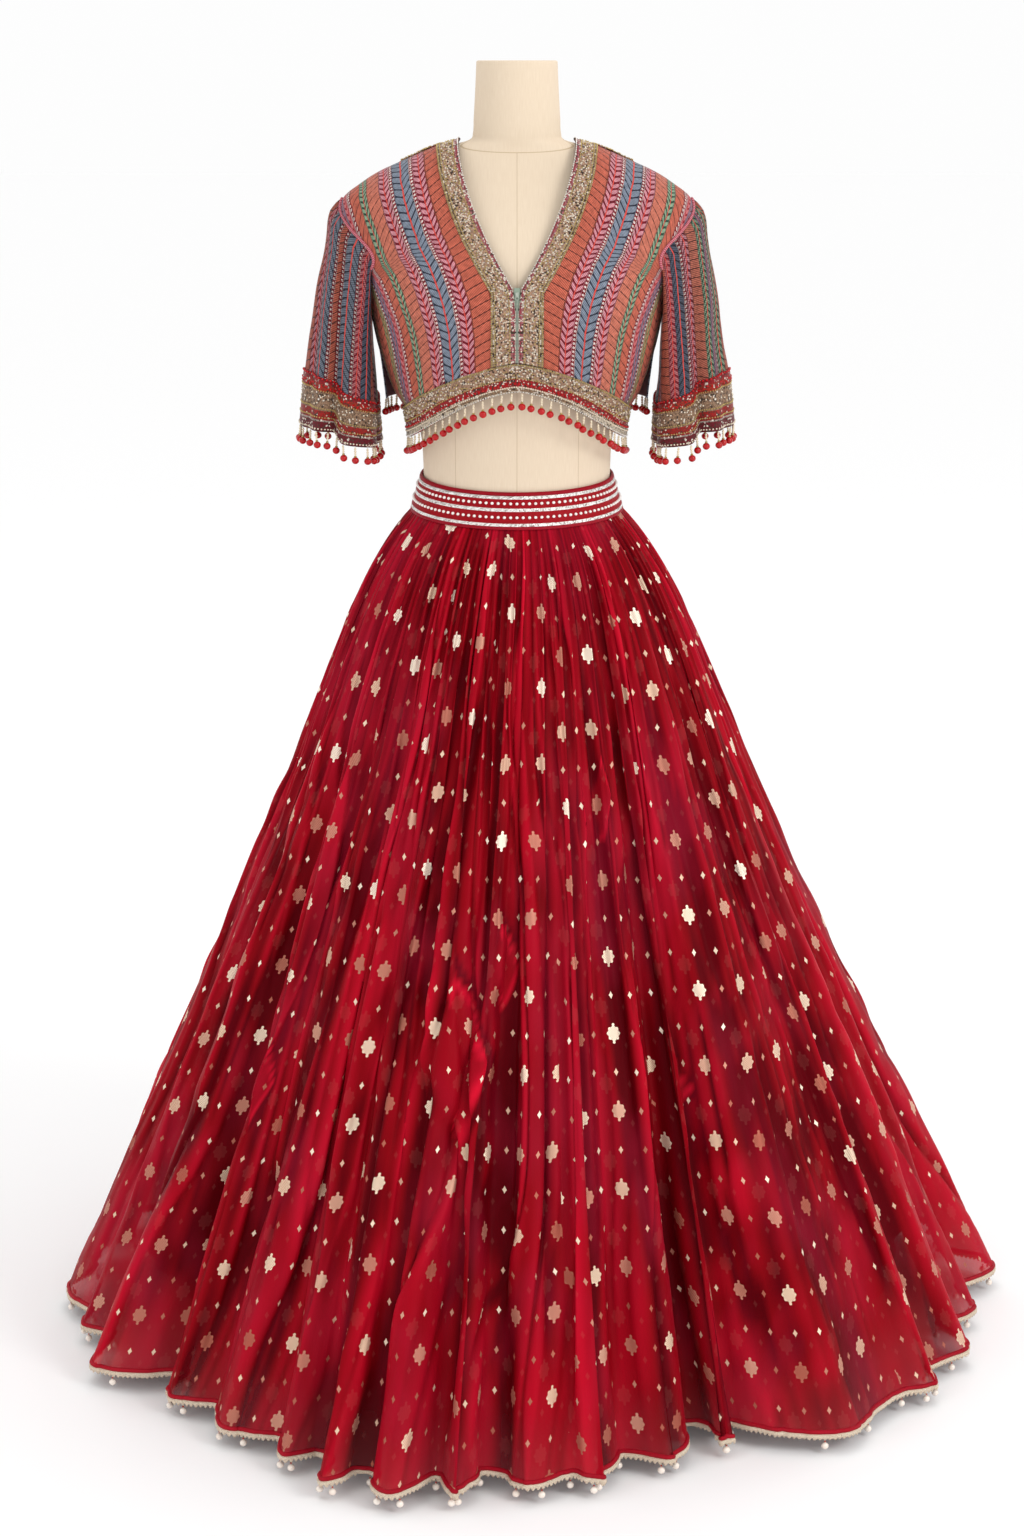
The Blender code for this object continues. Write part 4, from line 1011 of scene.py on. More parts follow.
def frontPoints(s, t):
    s, t = np.broadcast_arrays(np.asarray(s, float), np.asarray(t, float))
    angle, height = coons(
        frontCentre, lambda q: sideEdge(q, blouse["hemSide"], blouse["frontScoopDeg"]),
        frontHemEdge, frontShoulder, s, t)
    return bodice(frontSections, angle, height)


def backTop(s):
    share, neckZ = blouse["backNeckShare"], blouse["neckPoint"][1]
    q = s / share
    p = (s - share) / (1 - share)
    angle = np.where(s < share, math.pi / 2 * q, math.pi / 2)
    low = blouse["backNeck"] + (neckZ - blouse["backNeck"]) * q * q
    return angle, np.where(s < share, low, neckZ + (blouse["shoulderTip"] - neckZ) * p)


def backPoints(s, t):
    # s may be below 0, on the wearer's right
    s, t = np.broadcast_arrays(np.asarray(s, float), np.asarray(t, float))
    side = np.where(s < 0, -1.0, 1.0)
    rise = blouse["backNeck"] - blouse["backHem"]
    angle, height = coons(
        lambda q: (q * 0, blouse["backHem"] + rise * q),
        lambda q: sideEdge(q, blouse["backHem"], blouse["backScoopDeg"]),
        lambda q: (math.pi / 2 * q, q * 0 + blouse["backHem"]), backTop, np.abs(s), t)
    points = bodice(backSections, math.pi - angle, height)
    points[..., 0] *= side
    return points


bodyMiddle = np.array([[[0.0, 0.0, 1.15]]])


def movedOut(points, out, inside=bodyMiddle, closed=False):
    facing = normals(points, closed)
    facing = facing * np.sign(np.sum(facing * (points - inside), axis=-1, keepdims=True))
    return points + facing * (out[..., None] if np.ndim(out) else out)


def blouseDrape(u, v, seed):
    # soft pulls of a lined, embroidered cloth: shallow rumples that lengthen towards the hem
    rumple = softNoise(u * 28 + 5, v * 11, seed, 64) + 0.5 * softNoise(u * 60, v * 24 + 3, seed + 1, 64)
    return blouse["rumple"] * rumple


# Stripes: width in mm, kind, step along the stripe in mm, ground, figure.
# Kinds are the slant of the figure: 0 dots, 0.35 slanted bars, 0.8 and 0.9 pairs of leaves with wide or thin outlines.
dots, bars, boldLeaves, leaves = 0.0, 0.35, 0.8, 0.9
longestStep = 40
coral = (bars, 11.5, "3E1614", "CC6852")
coralPale = (bars, 10.5, "481A18", "D27862")
pink = (boldLeaves, 9, "780820", "DA929C")
red = (dots, 5, "86081C", "F1DDD6")
slate = (leaves, 10.5, "2A2E3E", "848E9E")
green = (boldLeaves, 7.5, "2A4A3A", "93AC8E")
navy = (leaves, 10, "1E1E2C", "5C6274")
violet = (leaves, 9, "402A3C", "8A7C90")
rose = (boldLeaves, 8, "96122A", "D87C80")
olive = (leaves, 9, "46502E", "989A6C")
frontStripes = (
    (23, *coral), (24.5, *coral), (15, *pink), (5, *red), (21.5, *slate), (5, *red), (13, *pink),
    (17, *coralPale), (10.5, *green), (14, *coral), (5, *red), (9, *rose), (10, *violet), (5, *red),
    (10, *olive), (14, *coral),
)
backStripes = (
    (10.5, *coralPale), (13, *pink), (5, *red), (21, *slate), (5, *red), (14, *pink), (18, *coral),
    (10, *green), (16, *coralPale), (14, *pink), (5, *red), (20, *slate), (5, *red), (13, *rose), (17, *coral),
)
# round the sleeve from outside past the front
rightSleeveStripes = (
    (24, *coral), (15, *pink), (4, *red), (22, *slate), (5, *red), (9, *coral), (6, *red), (22, *slate),
    (5, *red), (12, *rose), (18, *navy), (16, *coral), (12, *green), (14, *pink),
)
leftSleeveStripes = (
    (22, *coral), (17, *green), (5, *red), (11, *violet), (11, *green), (17, *coralPale), (12, *pink), (5, *red),
    (16, *navy), (13, *rose), (20, *coral), (14, *pink), (20, *slate),
)


def stripedSilk(name, stripes, shade=1.0):
    # raw silk covered in chain and satin stitch: matt ground, threads that catch the light across the stripes
    made, tree, shader = newMaterial(
        name, "B85048", Roughness=0.6, Sheen_Weight=0.05, Sheen_Roughness=0.5, Specular_IOR_Level=0.15)
    span = sum(width for width, *_ in stripes) * mm
    uv, u, v = clothMap(tree)
    jitter = addNode(tree, "TexNoise", uv, None, 60.0, 1.0)
    u = addNode(tree, "Math MULTIPLY_ADD", addNode(tree, "Math SUBTRACT", jitter, 0.5), 0.0022, u)
    # the table of stripes, there and back
    place = addNode(tree, "Math DIVIDE", addNode(tree, "Math PINGPONG", u, span), span)
    code, ground, figure = (addNode(tree, "ValToRGB", place) for _ in range(3))
    codes, grounds, figures, start = [], [], [], 0.0
    for width, kind, step, groundHex, figureHex in stripes:
        end = start + width * mm / span
        codes += [(start + 0.0002, (0.0, kind, step / longestStep)), (end - 0.0002, (1.0, kind, step / longestStep))]
        grounds.append((start, groundHex))
        figures.append((start, figureHex))
        start = end
    setRamp(code, codes)
    setRamp(ground, grounds, "CONSTANT")
    setRamp(figure, figures, "CONSTANT")
    parts = addNode(tree, "SeparateColor", code).node.outputs
    side = addNode(tree, "Math MULTIPLY_ADD", parts[0], 2.0, -1.0)
    away = addNode(tree, "Math ABSOLUTE", side)
    kind = parts[1]
    steps = addNode(tree, "Math DIVIDE", v, addNode(tree, "Math MULTIPLY", parts[2], longestStep * mm))
    isLeaf = addNode(tree, "Math GREATER_THAN", kind, 0.6)
    isDot = addNode(tree, "Math LESS_THAN", kind, 0.15)
    # leaves rise outwards from their midrib, and bars rise towards the middle of the body
    slant = addNode(tree, "MixRGB", isLeaf, addNode(tree, "Math MULTIPLY", side, -0.8), away)
    phase = addNode(tree, "Math SUBTRACT", steps, addNode(tree, "Math MULTIPLY", slant, kind))
    wave = addNode(tree, "Math MULTIPLY", addNode(tree, "Math PINGPONG", phase, 0.5), 2.0)
    swell = addNode(tree, "Math POWER", addNode(tree, "Math SINE", addNode(tree, "Math MULTIPLY", away, math.pi)), 0.4)
    leafField = addNode(tree, "Math MULTIPLY", wave, swell)
    leaf = addNode(tree, "Math GREATER_THAN", leafField, addNode(tree, "MapRange", kind, 0.8, 0.9, 0.34, 0.19))
    clear = addNode(tree, "Math LESS_THAN", away, 0.93)
    bar = addNode(tree, "Math MULTIPLY", addNode(tree, "Math GREATER_THAN", wave, 0.10), clear)
    gap = addNode(tree, "Math SUBTRACT", 1.0, wave)
    spot = addNode(tree, "Math MULTIPLY_ADD", away, away, addNode(tree, "Math MULTIPLY", gap, gap))
    dot = addNode(tree, "Math LESS_THAN", spot, 0.36)
    shape = addNode(tree, "MixRGB", isLeaf, bar, leaf)
    shape = addNode(tree, "MixRGB", isDot, shape, dot)
    # satin stitch, drawn at 1.1 mm so that it shows
    slanted = addNode(tree, "Mapping", uv, None, (0, 0, math.radians(35)), None)
    stitch = addNode(tree, "TexWave", slanted, 150.0, 1.2, 2.0, 60.0, bands_direction="Y")
    # painted shade: a mottle darkens the cloth in patches, scaled further by shade
    mottledShade = addNode(tree, "TexNoise", uv, None, 160.0, 3.0, 0.6)
    tone = addNode(tree, "MixRGB", shape, ground, figure)
    light = addNode(tree, "MapRange", stitch, 0.0, 1.0, 0.44, 1.16)
    mottledShade = addNode(tree, "MapRange", mottledShade, 0.3, 0.7, 0.66 * shade, 1.14 * shade)
    light = addNode(tree, "Math MULTIPLY", light, mottledShade)
    tone = addNode(tree, "MixRGB", 1.0, tone, light, blend_type="MULTIPLY")
    midrib = addNode(tree, "Math MULTIPLY", isLeaf, addNode(tree, "Math LESS_THAN", away, 0.09))
    tone = addNode(tree, "MixRGB", midrib, tone, "C8463C")
    relief = addNode(tree, "Math MULTIPLY_ADD", stitch, 0.25, addNode(tree, "Math MULTIPLY", shape, leafField))
    wire(tree, shader, Base_Color=tone, Normal=addNode(tree, "Bump", 0.6, 0.0012, None, relief))
    return made


# goldwork: coiled metal thread and beads on a net, dull gold; painted shade darkens the gaps between the beads, where
# the dark net also shows, a painted sheen runs along the coils, and pale cells are painted glints
goldRows = {
    # zones across the band as (share, ground hex)
    "neck": (
        (0.0, "E2D2C4"), (0.05, "A03A4A"), (0.12, "B46C74"), (0.22, "C09A82"), (0.78, "D2B09A"),
        (0.85, "6A5442"), (0.89, "B8A284"),
    ),
    "hem": (
        (0.0, "B8A080"), (0.08, "B49078"), (0.46, "C8A890"), (0.50, "A8141E"), (0.78, "C8B09A"),
        (0.83, "94785E"), (0.93, "DCCDB6"),
    ),
    "cuff": (
        (0.0, "980A1C"), (0.10, "A82A1A"), (0.24, "9C7E66"), (0.56, "A01C1A"), (0.72, "B8AAA2"),
        (0.75, "6C0A1E"), (0.93, "A89888"), (0.97, "6C4A3C"),
    ),
    "back": ((0.0, "B8A084"), (0.10, "947A60"), (0.75, "B46C74"), (0.90, "A03A4A")),
}


def goldwork(name, zones, width, glints=0.16):
    made, tree, shader = newMaterial(name, "9C8A5C", Roughness=0.45, Specular_IOR_Level=0.3)
    uv, u, _ = clothMap(tree)
    ground = addNode(tree, "ValToRGB", addNode(tree, "Math DIVIDE", u, width))
    setRamp(ground, zones, "CONSTANT")
    beads = addNode(tree, "TexVoronoi", uv, None, 520.0)
    chance = addNode(tree, "SeparateColor", beads.node.outputs["Color"])
    twist = addNode(tree, "TexWave", addNode(tree, "Mapping", uv, None, (0, 0, 0.7), None), 330.0, 6.0, 2.0, 70.0)
    gapShade = addNode(tree, "Math GREATER_THAN", beads, 0.52)
    glint = addNode(tree, "Math GREATER_THAN", chance, 1 - glints)
    # painted sheen along the coiled thread
    sheen = addNode(tree, "Math MULTIPLY", twist, 0.45)
    tone = addNode(tree, "MixRGB", sheen, ground, "F2DCC8", blend_type="SOFT_LIGHT")
    # pale cells as painted glints
    tone = addNode(tree, "MixRGB", glint, tone, "FBF0E2")
    tone = addNode(tree, "MixRGB", addNode(tree, "Math LESS_THAN", chance, 0.13), tone, "4A382E")
    # painted shade in the gaps between the beads, where the dark net also shows
    tone = addNode(tree, "MixRGB", addNode(tree, "Math MULTIPLY", gapShade, 0.42), tone, "3C2A22")
    relief = addNode(tree, "Math MULTIPLY_ADD", twist, 0.3, addNode(tree, "Math SUBTRACT", 1.0, beads))
    wire(tree, shader, Base_Color=tone, Metallic=addNode(tree, "Math MULTIPLY", glint, 0.4))
    wire(tree, shader, Normal=addNode(tree, "Bump", 0.9, 0.0012, None, relief))
    return made


# cotton voile behind the embroidery: matt dark wine
backing = twoToneMaterial(
    "cotton voile backing, dark wine", "4A1420", ("3A0E18", "5A1C2A"), "TexNoise", None, 300.0, 2.0, Roughness=0.85)

border = {"wall": 1.2 * mm, "rim": 0.3 * mm, "crown": 1.7 * mm, "hem": 36 * mm, "back": 27 * mm, "cuff": 66 * mm}
frontSilk = stripedSilk("raw silk, striped embroidery, front", frontStripes)
backSilk = stripedSilk("raw silk, striped embroidery, back", backStripes)
neckGold = goldwork("goldwork neck border", goldRows["neck"], blouse["neckBorder"], 0.22)
hemGold = goldwork("goldwork hem border", goldRows["hem"], border["hem"])
backGold = goldwork("goldwork back neck border", goldRows["back"], border["back"])
cuffGold = goldwork("goldwork cuff", goldRows["cuff"], border["cuff"], 0.07)


def shell(name, points, corners, finish, closed=False, inside=bodyMiddle):
    made = gridPiece(name, points, corners, [finish, backing], closed, inside[0] if len(inside) == 1 else inside)
    applyModifier(made, "SOLIDIFY", thickness=blouse["wall"], offset=-1, material_offset=1)
    return made


s, t = np.linspace(0, 1, blouse["columns"]), np.linspace(0, 1, blouse["rows"])
plain = frontPoints(s[None, :], t[:, None])
frontU, frontV = lengths(plain, 1), lengths(plain, 0)
# the stripes bend softly past the point of the V
middleX = plain[:, 0, 0]
weights = np.exp(-0.5 * (np.arange(-27, 28) / 10.0) ** 2)
softX = np.convolve(np.pad(middleX, 27, mode="reflect", reflect_type="odd"), weights / weights.sum(), "valid")
stripeU = frontU - (softX - middleX)[:, None] * np.clip(frontU / 0.045, 0, 1)
loose = np.clip(frontU / 0.04, 0, 1) * np.clip((1 - t[:, None]) * 8, 0, 1) * np.clip((1 - s[None, :]) * 8, 0, 1)
for side, seed in (("left", 41), ("right", 51)):
    draped = movedOut(plain, blouseDrape(frontU, frontV, seed) * loose)
    uvGrid = pairs(stripeU, frontV)
    if side == "right":
        draped, uvGrid = draped[:, ::-1] * mirror, uvGrid[:, ::-1]
    made = shell(f"blouse_front_{side}_striped", draped, cornerUv(uvGrid), frontSilk)
    finishPiece(made, "stripes", f"blouse_front_{side}")

# back, in one piece from the wearer's right to left
sBack = np.linspace(-1, 1, 2 * blouse["columns"] - 1)
plainBack = backPoints(sBack[None, :], t[:, None])
backU = lengths(plainBack, 1)
backU = np.abs(backU - backU[:, [blouse["columns"] - 1]])
backV = lengths(plainBack, 0)
loose = np.clip((1 - t[:, None]) * 8, 0, 1) * np.clip((1 - np.abs(sBack[None, :])) * 8, 0, 1)
draped = movedOut(plainBack, blouseDrape(backU, backV, 61) * loose)
made = shell("blouse_back_striped", draped, cornerUv(pairs(backU, backV)), backSilk)
finishPiece(made, "stripes", "blouse_back")
print("blouse body ready")


# Gold borders

def across(points, count, width):
    # each row from its first point, cut to a width and spaced evenly
    run = lengths(points, 1)
    made = np.empty((len(points), count, 3))
    for r in range(len(points)):
        want = np.linspace(0, min(width, run[r, -1]), count)
        for k in range(3):
            made[r, :, k] = np.interp(want, run[r], points[r, :, k])
    return made


def raisedBand(points, low=0.0):
    # a band that stands up from the cloth between its two edges, but not where low is 1
    n = points.shape[1]
    q = np.minimum(np.arange(n), np.arange(n)[::-1]) / max(1, n - 1)
    rise = border["rim"] + (border["crown"] - border["rim"]) * np.clip(q / 0.07, 0, 1) ** 0.5
    return movedOut(points, rise[None, :] * (1 - np.broadcast_to(low, len(points)))[:, None])


scrollPeriod = 22 * mm


def beadLine(rows, share, every, out, swing=0.0, phase=0.0, loose=0.0, inside=bodyMiddle):
    # places along a band of points, at a share of its width, which may swing from side to side
    n = rows.shape[1] - 1
    run = lengths(rows[:, n // 2], 0)
    want = np.arange(every / 2, run[-1], every)
    jitter = loose * np.random.RandomState(len(want)).uniform(-1, 1, len(want))
    at = np.clip(share + swing * np.sin(turn * want / scrollPeriod + phase) + jitter, 0, 1) * n
    r = np.interp(want, run, np.arange(len(rows)))
    raised = movedOut(rows, out, inside)
    r0, c0 = np.minimum(r.astype(int), len(rows) - 2), np.minimum(at.astype(int), n - 1)
    fr, fc = (r - r0)[:, None], (at - c0)[:, None]
    low = raised[r0, c0] * (1 - fc) + raised[r0, c0 + 1] * fc
    high = raised[r0 + 1, c0] * (1 - fc) + raised[r0 + 1, c0 + 1] * fc
    return low * (1 - fr) + high * fr


tNeck = np.linspace(blouse["hemBorderShare"] + 0.002, 1.0, 170)
neckRows = across(frontPoints(np.linspace(0, 0.6, 90)[None, :], tNeck[:, None]), 17, blouse["neckBorder"])
# below the V the borders close over the sides of the zip, by 3.1 mm within 24 mm
closing = np.clip((blouse["vBottom"] - 2 - neckRows[:, 0, 2] / mm) / 24, 0, 1)
neckRows[..., 0] -= 3.1 * mm * closing[:, None] * np.linspace(1, 0, 17)[None, :]
tHem = np.linspace(blouse["hemBorderShare"], 0.0, 17)
sHem = np.linspace(0, 1, 110)
hemHalf = frontPoints(sHem[:, None], tHem[None, :])
hemRows = np.concatenate([hemHalf[::-1] * mirror, hemHalf])
# back neck: the outer edge runs round from the middle of the back to the shoulder seam
endShare = blouse["backNeckShare"] + blouse["neckBorder"] / 0.26
sNeck = np.linspace(-endShare, endShare, 90)
over = np.clip((np.abs(sNeck) - blouse["backNeckShare"]) / (endShare - blouse["backNeckShare"]), 0, 1)
depth = blouse["backBorderShare"] * np.sqrt(np.maximum(0.002, 1 - over ** 2))
backRows = backPoints(sNeck[:, None], 1 - depth[:, None] * np.linspace(1, 0, 13)[None, :])
# it lies flat where its edge turns the corner of the neck
atCorner = 0.9 * np.exp(-(((np.abs(sNeck) - blouse["backNeckShare"]) / 0.035) ** 2))

beadSpots = {"cream": [], "gold": [], "red": [], "edge": []}
bands = (
    ("blouse_neck_border_left_gold", neckRows, neckGold, "blouse_neck_border_left"),
    ("blouse_neck_border_right_gold", neckRows * mirror, neckGold, "blouse_neck_border_right"),
    ("blouse_hem_border_gold", hemRows, hemGold, "blouse_hem_border"),
    ("blouse_neck_border_back_gold", backRows, backGold, "blouse_neck_border_back"),
)
for name, rows, finish, replaced in bands:
    raised = raisedBand(rows, low=atCorner if "back" in name else 0.0)
    uvGrid = pairs(lengths(rows, 1), lengths(rows, 0)[:, [8]])
    made = gridPiece(name, raised, cornerUv(uvGrid), [finish], inside=bodyMiddle[0])
    applyModifier(made, "SOLIDIFY", thickness=border["wall"], offset=-1)
    finishPiece(made, "gold", replaced)
    # where the beaded scroll runs and how far it swings, and the straight bead lines, as shares of the width
    if "hem" in name:
        scroll, width, lines = 0.30, 0.13, ((0.04, "gold"), (0.50, "gold"), (0.80, "cream"), (0.97, "edge"))
    elif "back" in name:
        scroll, width, lines = 0.42, 0.20, ((0.06, "gold"), (0.72, "gold"))
    else:
        scroll, width, lines = 0.53, 0.17, ((0.02, "edge"), (0.24, "gold"), (0.82, "gold"), (0.95, "gold"))
    for look, phase in (("gold", 0.0), ("cream", math.pi)):
        beadSpots[look].append(beadLine(rows, scroll, 3.1 * mm, 2.1 * mm, width, phase, 0.09))
    for share, look in lines:
        spots = beadLine(rows, share, 2.9 * mm if look != "edge" else 3.4 * mm, 1.7 * mm)
        if look == "edge" and "neck" in name:
            spots = spots[spots[:, 2] > blouse["vBottom"] * mm]
        beadSpots[look].append(spots)
    if "hem" in name:
        beadSpots["red"].append(beadLine(rows, 0.69, 5.0 * mm, 1.7 * mm))


# Sleeves

sleeve = {
    "cuffMiddleX": 218 * mm, "cuffHalfX": 50 * mm, "cuffHalfY": 62 * mm, "cuffHeight": 1148 * mm,
    "cuffTilt": 7 * mm, "hang": 0.65, "shift": 3.5 * mm, "cuffFrom": 0.745, "columns": 144, "rows": 60,
    "stepDrop": 11 * mm, "around": 0.385,
    "cuffRows": 30, "armholeSteps": 159,
    # place round the sleeve, depth in mm, width
    "folds": (
        (0.22, -19, 0.040), (0.36, 8, 0.05), (0.47, -9, 0.035), (0.62, 7, 0.05), (0.76, -13, 0.05),
        (0.92, 6, 0.05), (0.10, -5, 0.03),
    ),
}
steps = sleeve["armholeSteps"]
armShares = blouse["underarmShare"] + (1 - blouse["underarmShare"]) * np.linspace(0, 1, steps + 1)
frontEdge = frontPoints(1.0, armShares)[::-1]
backEdge = backPoints(1.0, armShares)[1:-1]
armhole = np.concatenate([frontEdge, backEdge])
# the solids' stops along each half of the armhole, so that turns fall at the same places
stops = np.array((0.0, 0.17, 0.34, 0.51, 0.68, 0.83, 0.925, 1.0))
stopPlaces = np.concatenate([steps * (1 - stops[::-1]), steps + steps * stops[1:-1], [len(armhole)]])
stopTurns = np.arange(len(stopPlaces)) / (len(stopPlaces) - 1)


def armholePoint(around):
    place = np.interp(around % 1.0, stopTurns, stopPlaces)
    low = np.floor(place).astype(int)
    share = (place - low)[..., None]
    return armhole[low % len(armhole)] * (1 - share) + armhole[(low + 1) % len(armhole)] * share


def sleevePoints(around, fall, seed=None):
    around, fall = np.broadcast_arrays(np.asarray(around, float), np.asarray(fall, float))
    start = armholePoint(around)
    angle = turn * around
    fold = np.zeros_like(around)
    for centre, depth, width in sleeve["folds"]:
        away = (around - centre + 0.5) % 1.0 - 0.5
        fold += depth * mm * np.exp(-((away / width) ** 2))
    end = np.stack([
        sleeve["cuffMiddleX"] + (sleeve["cuffHalfX"] + fold) * np.cos(angle),
        -(sleeve["cuffHalfY"] + fold) * np.sin(angle),
        sleeve["cuffHeight"] + sleeve["cuffTilt"] * np.cos(angle),
    ], axis=-1)
    # the front inner half hangs lower, past a fold
    lower = 1 / (1 + np.exp(-(around - 0.245) / 0.008)) * np.clip((0.72 - around) / 0.25, 0, 1)
    end[..., 2] -= sleeve["stepDrop"] * lower
    hang = np.maximum(0, fall)[..., None] ** sleeve["hang"]
    start = start + np.array([1.0, 0, 0]) * (sleeve["shift"] * np.clip(fall * 20, 0.15, 1))[..., None]
    point = start + (end - start) * hang
    point[..., 2] = start[..., 2] + (end[..., 2] - start[..., 2]) * fall
    middle = point.mean(axis=1, keepdims=True)
    if seed is not None:
        out = point - middle
        out[..., 2] = 0
        out /= np.maximum(np.linalg.norm(out, axis=-1, keepdims=True), 1e-6)
        pull = softNoise(around * 9, fall * 5, seed, 9) + 0.5 * softNoise(around * 20, fall * 8, seed + 1, 20)
        pull = 1.5 * pull * np.clip(fall * 6, 0, 1) * np.clip((1 - fall) * 4, 0.25, 1)
        puff = 5.0 * np.exp(-((fall - 0.06) / 0.07) ** 2) * np.maximum(0, np.cos(angle)) ** 2
        point = point + out * ((pull + puff) * mm)[..., None]
    return point


turns = np.arange(sleeve["columns"]) / sleeve["columns"]
aroundSleeve = np.append(turns, 1.0) * sleeve["around"]
falls = np.linspace(0, 1, sleeve["rows"])
cuffFalls = np.linspace(sleeve["cuffFrom"], 1.0, sleeve["cuffRows"])
cuffRow = np.arange(sleeve["cuffRows"])
cuffRise = 0.3 + 1.4 * np.clip(np.minimum(cuffRow, cuffRow[::-1]) / 2, 0, 1)
# share of the cuff's depth, look, spacing in mm, swing
cuffBeads = (
    (0.02, "red", 5.0, 0.0), (0.17, "red", 5.4, 0.03), (0.245, "gold", 2.9, 0.0), (0.57, "gold", 2.9, 0.0),
    (0.41, "cream", 4.2, 0.10), (0.735, "gold", 2.9, 0.0), (0.95, "cream", 3.6, 0.0),
)
cuffEdges = {}
for side, seed, stripes in (("left", 71, leftSleeveStripes), ("right", 81, rightSleeveStripes)):
    sign = 1.0 if side == "left" else mirror
    # painted shade: the sleeves' silk is painted darker than the body's, by a shade of 0.60
    silk = stripedSilk(f"raw silk, striped embroidery, {side} sleeve", stripes, 0.60)
    points = sleevePoints(turns[None, :], falls[:, None], seed) * sign
    middle = points.mean(axis=1, keepdims=True)
    drop = lengths(points, 0).mean(axis=1, keepdims=True)
    made = shell(f"blouse_sleeve_{side}_striped", points, cornerUv(pairs(aroundSleeve, drop)), silk, True, middle)
    finishPiece(made, "stripes", f"blouse_sleeve_{side}")
    cuff = sleevePoints(turns[None, :], np.concatenate([[0.0], cuffFalls])[:, None], seed)[1:] * sign
    cuffMiddle = cuff.mean(axis=1, keepdims=True)
    cuffOut = movedOut(cuff, (cuffRise[:, None] + 0 * turns) * mm, cuffMiddle, True)
    drop = lengths(cuff, 0).mean(axis=1, keepdims=True)
    corners = cornerUv(pairs(drop, aroundSleeve))
    made = gridPiece(f"blouse_cuff_{side}_gold", cuffOut, corners, [cuffGold], True, cuffMiddle)
    applyModifier(made, "SOLIDIFY", thickness=border["wall"], offset=-1)
    finishPiece(made, "gold", f"blouse_cuff_{side}")
    rows, inside = np.swapaxes(ringed(cuff), 0, 1), np.swapaxes(cuffMiddle, 0, 1)
    for share, look, every, swing in cuffBeads:
        beadSpots[look].append(beadLine(rows, share, every * mm, 1.8 * mm, swing, inside=inside))
    cuffEdges[side] = cuff[-1]
print("sleeves ready")

# raised chain stitch over the armhole seams
seamFinish = twoToneMaterial(
    "chain stitch, rose and crimson", "B8465A", ("98122C", "DA8C96"), "TexWave", 120.0, 2.0, bump=(0.6, 0.0008),
    bands="X", Roughness=0.6, Specular_IOR_Level=0.2)
armSeam = {"out": 1.2 * mm, "radius": 2.0 * mm, "sides": 7}
for side, sign in (("left", 1.0), ("right", -1.0)):
    line = (armhole + np.array([armSeam["out"], 0, 0])) * np.array([sign, 1, 1])
    onward = ahead(line)
    sideways = unit(np.cross(onward, np.array([sign, 0, 0])))
    seam = tube(f"blouse_armhole_seam_{side}", line, np.cross(sideways, onward), sideways,
                armSeam["radius"], armSeam["sides"], seamFinish)
    finishPiece(seam, "stripes")

# glass and metal beads of the goldwork
goldBead = twoToneMaterial(
    "metal bead, antique gold", "B89C5A", ("8C7440", "D8C080"), "TexNoise", None, 250.0, 1.0,
    Roughness=0.32, Metallic=0.85)
creamBead = twoToneMaterial(
    "glass seed bead, cream", "DED0B8", ("C8B494", "F0E6D6"), "TexNoise", None, 220.0, 1.0,
    Roughness=0.25, Specular_IOR_Level=0.4)
# look, radius in mm and material
beads = (("cream", 1.2, creamBead), ("gold", 1.15, goldBead), ("red", 1.6, redBead), ("edge", 0.8, whiteBead))
for look, radius, finish in beads:
    bpy.ops.mesh.primitive_uv_sphere_add(segments=6, ring_count=4, radius=radius * mm, location=(0, 0, 0))
    bead = bpy.context.active_object
    for vertex in bead.data.vertices:
        vertex.co.z *= 0.9
    model = takeMesh(bead)
    made = copyMany(f"blouse_beads_{look}", model, np.concatenate(beadSpots[look]), [finish])
    finishPiece(made, "gold")


# Bead fringe: cream seed beads on a thread, ending in a red glass ball

fringe = {"drop": 0.8 * mm, "ball": 4.6 * mm, "swing": 0.10, "front": 36, "back": 30, "cuff": 24}
strand = joinModel((
    ("thread", -7.0 * mm, 0.8 * mm, 14 * mm, 1), ("ball", -2.4 * mm, 1.5 * mm, 1.0, 1),
    ("ball", -5.4 * mm, 1.6 * mm, 1.0, 1), ("ball", -8.4 * mm, 1.5 * mm, 1.0, 1),
    ("ball", -11.4 * mm, 1.8 * mm, 0.7, 2), ("ball", -16.4 * mm, fringe["ball"], 0.94, 0),
))


def evenPlaces(line, count, closed=False):
    line = np.concatenate([line, line[:1]]) if closed else line
    run = lengths(line, 0)
    want = (np.arange(count) + 0.5) * run[-1] / count
    return np.stack([np.interp(want, run, line[:, k]) for k in range(3)], axis=1)


def tilted(count, seed):
    # small swings of each strand, as threads hang
    made = []
    for a, b in zip(*(fringe["swing"] * np.random.RandomState(seed).uniform(-1, 1, (2, count)))):
        ca, sa, cb, sb = math.cos(a), math.sin(a), math.cos(b), math.sin(b)
        rx = np.array([[1, 0, 0], [0, ca, -sa], [0, sa, ca]])
        ry = np.array([[cb, 0, sb], [0, 1, 0], [-sb, 0, cb]])
        made.append((rx @ ry).T)
    return made


fringes = (
    ("front", hemRows[:, -1], fringe["front"], False),
    ("back", plainBack[0], fringe["back"], False),
    ("cuff_left", cuffEdges["left"], fringe["cuff"], True),
    ("cuff_right", cuffEdges["right"], fringe["cuff"], True),
)
looks = (redBead, threadFinish, goldBead)
for number, (name, line, count, closed) in enumerate(fringes):
    spots = evenPlaces(line, count, closed) - upward * fringe["drop"]
    made = copyMany(f"blouse_fringe_{name}_drops", strand, spots, looks, tilted(count, 90 + number))
    finishPiece(made, "beads", f"blouse_fringe_{name}")


# Zip: woven tape with a coil of teeth and a small slider at its top

